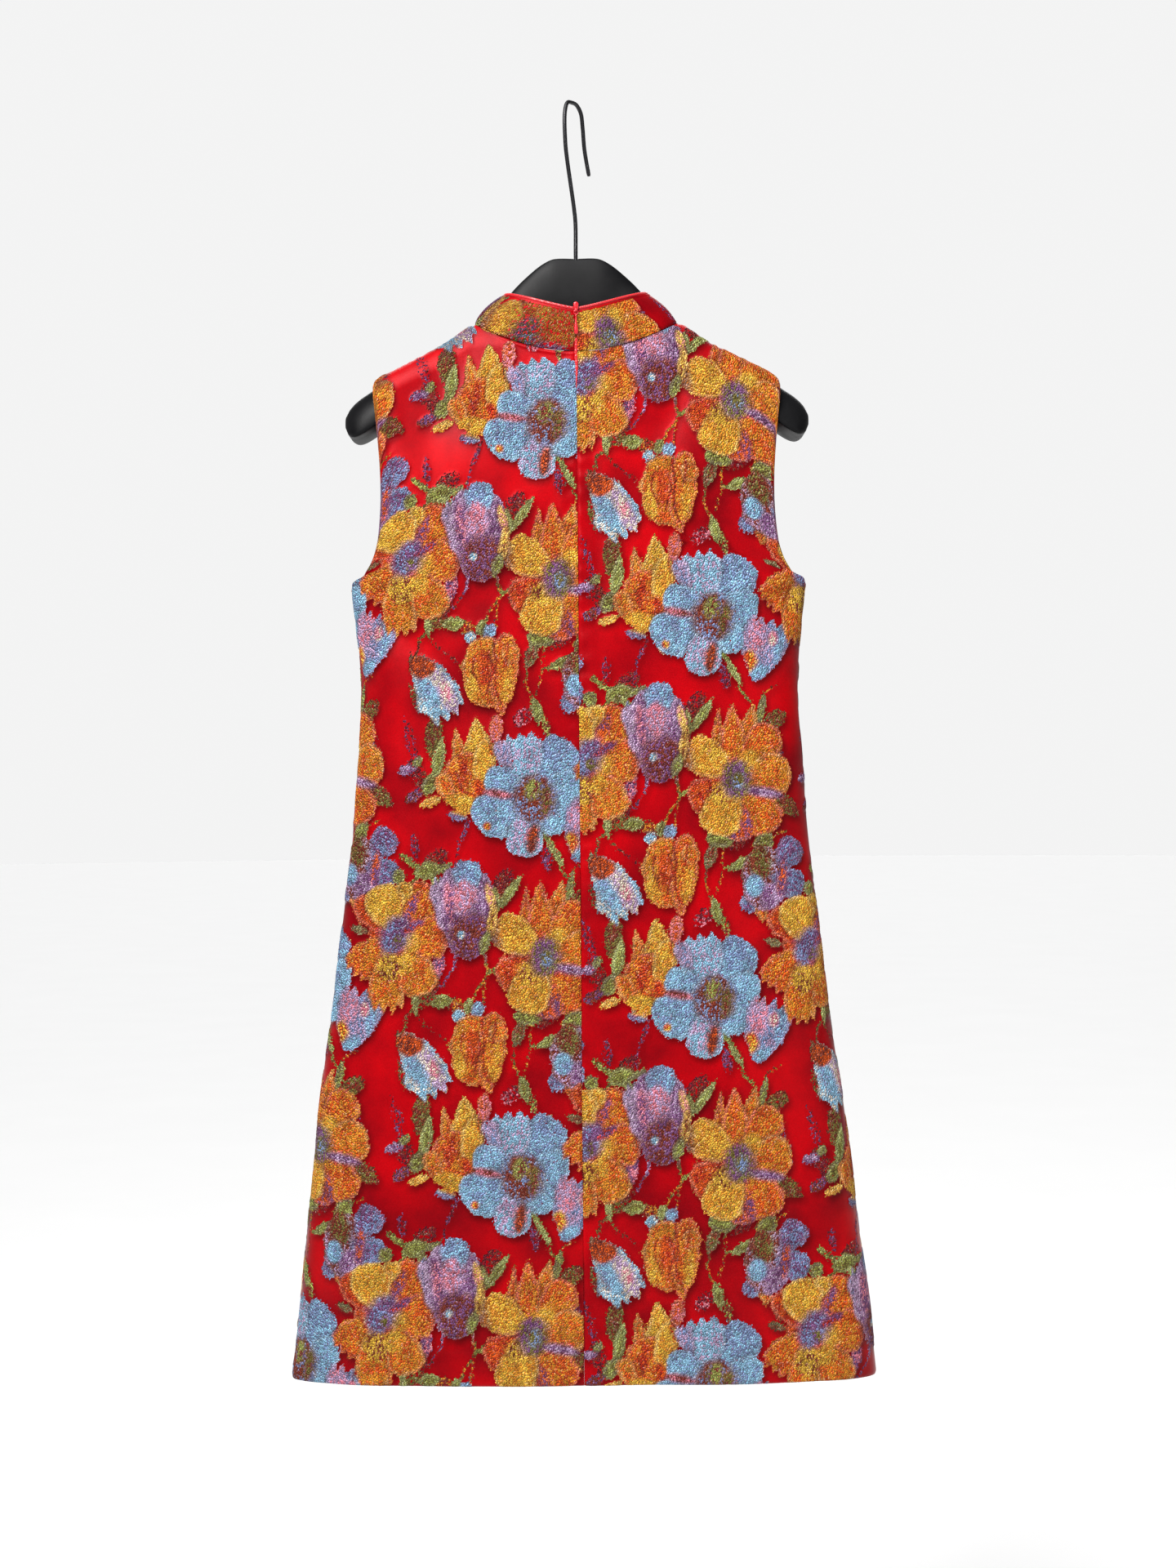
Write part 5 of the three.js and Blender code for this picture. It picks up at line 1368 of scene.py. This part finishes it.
class CHEONGSAM_OT_zip(bpy.types.Operator):
    """Make the zip's slider and pull, its tape, and the lip of plain satin below the pull"""

    bl_idname = "cheongsam.zip"
    bl_label = "Zip"

    def execute(self, context):
        look = context.scene.cheongsam_look
        enamel = enamel_material(look)
        height = np.linspace(SLIDER_TOP_Z, SLIDER_BOTTOM_Z, 25)
        t = np.linspace(0, 1, 25)
        rounded = np.sqrt(np.clip(1 - ((t - 0.2) / 0.2).clip(-1, 0) ** 2, 0, 1))
        half = rounded * (2.25 - 0.9 * smoothstep(t, 0.2, 1.0))
        half = np.maximum(half * np.sqrt(np.clip((1 - t) / 0.06, 0, 1)), 0.15)
        thick = (SLIDER_BACK_Y - SLIDER_FRONT_Y) / 2 * np.sqrt(np.clip(np.minimum(t, 1 - t) / 0.08, 0.02, 1))
        middle = (SLIDER_BACK_Y + SLIDER_FRONT_Y) / 2
        plate_path = np.stack([0 * t, 0 * t + middle, height], axis=1)
        plate = tube("zip_slider_plate", plate_path, np.stack([half, thick], axis=1), 20, [enamel],
                     across=(1, 0, 0))
        angle = np.linspace(0, math.pi, 21)
        arch_y = SLIDER_FRONT_Y + 0.2 - 2.35 * np.sin(angle)
        arch_z = PULL_AXIS_Z + 0.05 + 1.4 * np.cos(angle)
        arch = np.stack([0 * angle, arch_y, arch_z], axis=1)
        arch_radii = np.stack([0 * angle + 0.8, 0 * angle + 0.33], axis=1)
        bridge = tube("zip_slider_bridge", arch, arch_radii, 12, [enamel], across=(1, 0, 0))
        finish_piece(plate, "dress", "enamel", "zip_slider")
        finish_piece(bridge, "dress", "enamel")

        turn = np.arange(36) * 2 * math.pi / 36
        loop_x = 1.72 * np.sign(np.cos(turn)) * np.abs(np.cos(turn)) ** 0.7
        loop_z = PULL_AXIS_Z - 1.5 + 1.5 * np.sign(np.sin(turn)) * np.abs(np.sin(turn)) ** 0.7
        loop = np.stack([loop_x, 0 * turn + PULL_AXIS_Y, loop_z], axis=1)
        eye = tube("zip_pull_eye", loop, 0.42, 10, [enamel], closed=True)
        t = np.linspace(0, 1, 31)
        drop_half = 0.62 + 1.12 * smoothstep(t, 0.15, 0.85)
        drop_half = drop_half * np.sqrt(np.clip((1 - t) / 0.1, 0, 1)) * np.sqrt(np.clip(t / 0.03, 0.1, 1))
        drop_half = np.maximum(drop_half, 0.1)
        drop_thick = np.minimum(0.42 + 0.28 * smoothstep(t, 0.2, 0.8), drop_half)
        drop_path = np.stack([0 * t, 0 * t + PULL_AXIS_Y, PULL_AXIS_Z - 3.2 - 16.9 * t], axis=1)
        drop = tube("zip_pull_drop", drop_path, np.stack([drop_half, drop_thick], axis=1), 16, [enamel],
                    across=(1, 0, 0))
        finish_piece(drop, "zip_pull", "enamel", "zip_pull")
        finish_piece(eye, "zip_pull", "enamel")

        z = np.linspace(ZIP_LIP_TOP_Z, ZIP_LIP_BOTTOM_Z, 90)
        t = np.linspace(0, 1, 90)
        collar_y = -(COLLAR_BACK_DEPTH + HALF_GAP)
        body_y = -(cloth_half_depth(0 * z, np.minimum(z, NECK_BACK_Z)) + HALF_GAP)
        led = smoothstep(-z, -COLLAR_BACK_Z, -NECK_BACK_Z)
        y = np.where(z > NECK_BACK_Z, collar_y + (body_y - collar_y) * led, body_y)
        width = (1.25 - 0.95 * smoothstep(t, 0.5, 1.0)) * (1 + 0.12 * np.sin(z * 1.3))
        width = np.maximum(width * np.sqrt(np.clip(np.minimum(t, 1 - t) / 0.02, 0.05, 1)), 0.08)
        path = np.stack([0.25 * np.sin(z * 0.21), y + 0.35, z], axis=1)
        lip = tube("zip_lip", path, np.stack([width, width * 0.8], axis=1), 12, [trim_material(look)],
                   across=(1, 0, 0))
        finish_piece(lip, "dress", "satin_trim")

        across, up = np.meshgrid(np.linspace(-TAPE_HALF_WIDTH, TAPE_HALF_WIDTH, TAPE_COLUMNS),
                                 np.linspace(TAPE_BOTTOM_Z, TAPE_TOP_Z, TAPE_ROWS), indexing="ij")
        outer, inner = tape_faces(across, up)
        tape = cloth_shell("zip_tape_woven", outer, inner, 1, Cloth(across, up),
                           np.stack([across + PANEL_MAP_START, up + MAP_START_UP], axis=-1),
                           [trim_material(look)] * 2)
        finish_piece(tape, "dress", "satin_trim", "zip_tape")
        return {"FINISHED"}


class CHEONGSAM_OT_hanger(bpy.types.Operator):
    """Make the broad-shouldered hanger, with the bore for the hook's stem"""

    bl_idname = "cheongsam.hanger"
    bl_label = "Hanger"

    def execute(self, context):
        look = context.scene.cheongsam_look
        table = np.concatenate([HANGER_SECTIONS[:0:-1] * (-1, 1, 1, 1), HANGER_SECTIONS])
        ends = HANGER_SECTIONS[-1, 0] * np.sin(np.linspace(-math.pi / 2, math.pi / 2, 181))
        x = np.sort(np.concatenate([ends, np.linspace(-HANGER_EVEN_X, HANGER_EVEN_X, 101)]))
        x = x[np.concatenate([[True], np.diff(x) > 0.05])]
        top, bottom, half = (curve_through(table[:, 0], table[:, k], x)[:, None] for k in (1, 2, 3))
        angle = np.linspace(0, math.pi, 33)[None, :]
        edge = np.minimum(4.0, (top - bottom) / 3)
        shoulder = bottom + edge
        arch_y, arch_z = half * np.cos(angle), shoulder + (top - shoulder) * np.sin(angle)
        inset = half - np.minimum(2.5, half / 4)
        turn = np.linspace(0, math.pi / 2, 7)[None, 1:]
        left_y, left_z = -inset - (half - inset) * np.cos(turn), shoulder - edge * np.sin(turn)
        floor = np.linspace(-1, 1, 7)[None, 1:-1]
        under_y, under_z = inset * floor, bottom + 0 * floor
        right_y, right_z = inset + (half - inset) * np.sin(turn), bottom + edge * (1 - np.cos(turn))
        y = np.concatenate([arch_y, left_y, under_y, inset, right_y[:, :-1]], axis=1)
        z = np.concatenate([arch_z, left_z, under_z, bottom, right_z[:, :-1]], axis=1)
        rings = np.stack([x[:, None] + 0 * y, y, z], axis=-1)
        ids = np.arange(y.size).reshape(y.shape)
        ids = np.concatenate([ids, ids[:, :1]], axis=1)
        faces = grid_faces(ids.T, False).tolist() + [ids[0, :-1].tolist()[::-1], ids[-1, :-1].tolist()]
        hanger = mesh_object("moulded_hanger", rings.reshape(-1, 3), faces, [plastic_material(look)])
        depth = np.array([-128.0, STEM_BORE_BOTTOM])
        path = np.stack([0 * depth, 0 * depth, depth], axis=1)
        cutter = tube("bore", path, STEM_BORE_RADIUS, 40, [])
        cut = hanger.modifiers.new("bore", "BOOLEAN")
        cut.object, cut.operation, cut.solver = cutter, "DIFFERENCE", "EXACT"
        with context.temp_override(object=hanger, active_object=hanger):
            bpy.ops.object.modifier_apply(modifier=cut.name)
        bpy.data.objects.remove(cutter)
        hanger.data.set_sharp_from_angle(angle=math.radians(50))
        finish_piece(hanger, "dress", "hanger_plastic", "hanger")
        return {"FINISHED"}


class CHEONGSAM_OT_hook(bpy.types.Operator):
    """Make the wire hook"""

    bl_idname = "cheongsam.hook"
    bl_label = "Hook"

    def execute(self, context):
        look = context.scene.cheongsam_look
        s, z = HOOK_BENDS[:, 0], HOOK_BENDS[:, 1]
        path = spline(np.stack([s * math.cos(HOOK_TURN), s * math.sin(HOOK_TURN), z], axis=1), 16)
        radii = np.full(len(path), WIRE_RADIUS)
        radii[-1], radii[-2] = WIRE_RADIUS * 0.72, WIRE_RADIUS * 0.94
        square = (-math.sin(HOOK_TURN), math.cos(HOOK_TURN), 0)
        hook = tube("wire_hook", path, np.stack([radii, radii], axis=1), 18, [wire_material(look)],
                    across=square)
        finish_piece(hook, "hook", "hook_wire", "hook")
        return {"FINISHED"}


class CHEONGSAM_OT_stage(bpy.types.Operator):
    """Make the pale floor, the soft studio lights and the camera"""

    bl_idname = "cheongsam.stage"
    bl_label = "Stage"

    def execute(self, context):
        scene = context.scene
        look = scene.cheongsam_look
        ring = np.linspace(0, 2 * math.pi, 96, endpoint=False)
        disc = np.stack([FLOOR_RADIUS * np.cos(ring), FLOOR_RADIUS * np.sin(ring), 0 * ring + FLOOR_Z],
                        axis=1)
        floor = mesh_object("floor", disc, [list(range(96))], [floor_material(look)], smooth=False)

        world = bpy.data.worlds.new("pale_studio")
        world.use_nodes = True
        tree = world.node_tree
        background = tree.nodes["Background"]
        background.inputs["Color"].default_value = (1.0, 1.0, 1.0, 1.0)
        seen = add_node(tree, "LightPath").outputs["Is Camera Ray"]
        tree.links.new(ranged(tree, seen, 0.0, 1.0, WORLD_LIGHT, WORLD_SEEN), background.inputs["Strength"])
        scene.world = world
        scene.view_settings.view_transform = "Standard"

        for name, place, target, width, height, power, colour in LAMPS:
            lamp = bpy.data.lights.new(name, "AREA")
            lamp.shape, lamp.size, lamp.size_y = "RECTANGLE", width, height
            lamp.energy, lamp.color, lamp.spread = power, colour, math.radians(120)
            light = bpy.data.objects.new(name, lamp)
            scene.collection.objects.link(light)
            light.location = place
            toward = np.array(target) - np.array(place)
            light.rotation_euler = (
                math.atan2(math.hypot(toward[0], toward[1]), -toward[2]), 0.0,
                math.atan2(toward[1], toward[0]) - math.pi / 2,
            )
        for name, energy, tilt, roll in SUNS:
            lamp = bpy.data.lights.new(name, "SUN")
            lamp.energy, lamp.angle = energy, math.radians(40)
            sun = bpy.data.objects.new(name, lamp)
            scene.collection.objects.link(sun)
            sun.rotation_euler = (math.radians(tilt), math.radians(roll), 0.0)

        lens = bpy.data.cameras.new("camera")
        lens.sensor_fit, lens.sensor_height, lens.lens = "VERTICAL", 36.0, 50.0
        camera = bpy.data.objects.new("camera", lens)
        scene.collection.objects.link(camera)
        camera.location = CAMERA_PLACE
        camera.rotation_euler = (math.radians(90), CAMERA_ROLL, 0.0)
        scene.camera = camera
        return {"FINISHED"}


class CHEONGSAM_PT_panel(bpy.types.Panel):
    """Lists the pieces that can be made, and the settings of their finish"""

    bl_label = "Cheongsam"
    bl_idname = "CHEONGSAM_PT_panel"
    bl_space_type = "VIEW_3D"
    bl_region_type = "UI"
    bl_category = "Cheongsam"

    def draw(self, context):
        """Lists every operator, and then every setting."""
        for operator in OPERATORS:
            self.layout.operator(operator.bl_idname)
        for name in CheongsamLook.__annotations__:
            self.layout.prop(context.scene.cheongsam_look, name)


OPERATORS = (
    CHEONGSAM_OT_stage,
    CHEONGSAM_OT_back_panels,
    CHEONGSAM_OT_front_panel,
    CHEONGSAM_OT_collar,
    CHEONGSAM_OT_zip,
    CHEONGSAM_OT_hanger,
    CHEONGSAM_OT_hook,
)
CLASSES = (CheongsamLook,) + OPERATORS + (CHEONGSAM_PT_panel,)


def register():
    """Adds the classes and the dress's settings to Blender."""
    for cls in CLASSES:
        bpy.utils.register_class(cls)
    bpy.types.Scene.cheongsam_look = PointerProperty(type=CheongsamLook)


def unregister():
    """Takes the settings and the classes away again, last first."""
    del bpy.types.Scene.cheongsam_look
    for cls in reversed(CLASSES):
        bpy.utils.unregister_class(cls)


def main():
    """Makes every piece in turn."""
    register()
    bpy.ops.cheongsam.stage()
    bpy.ops.cheongsam.back_panels()
    bpy.ops.cheongsam.front_panel()
    bpy.ops.cheongsam.collar()
    bpy.ops.cheongsam.zip()
    bpy.ops.cheongsam.hanger()
    bpy.ops.cheongsam.hook()


if __name__ == "__main__":
    main()
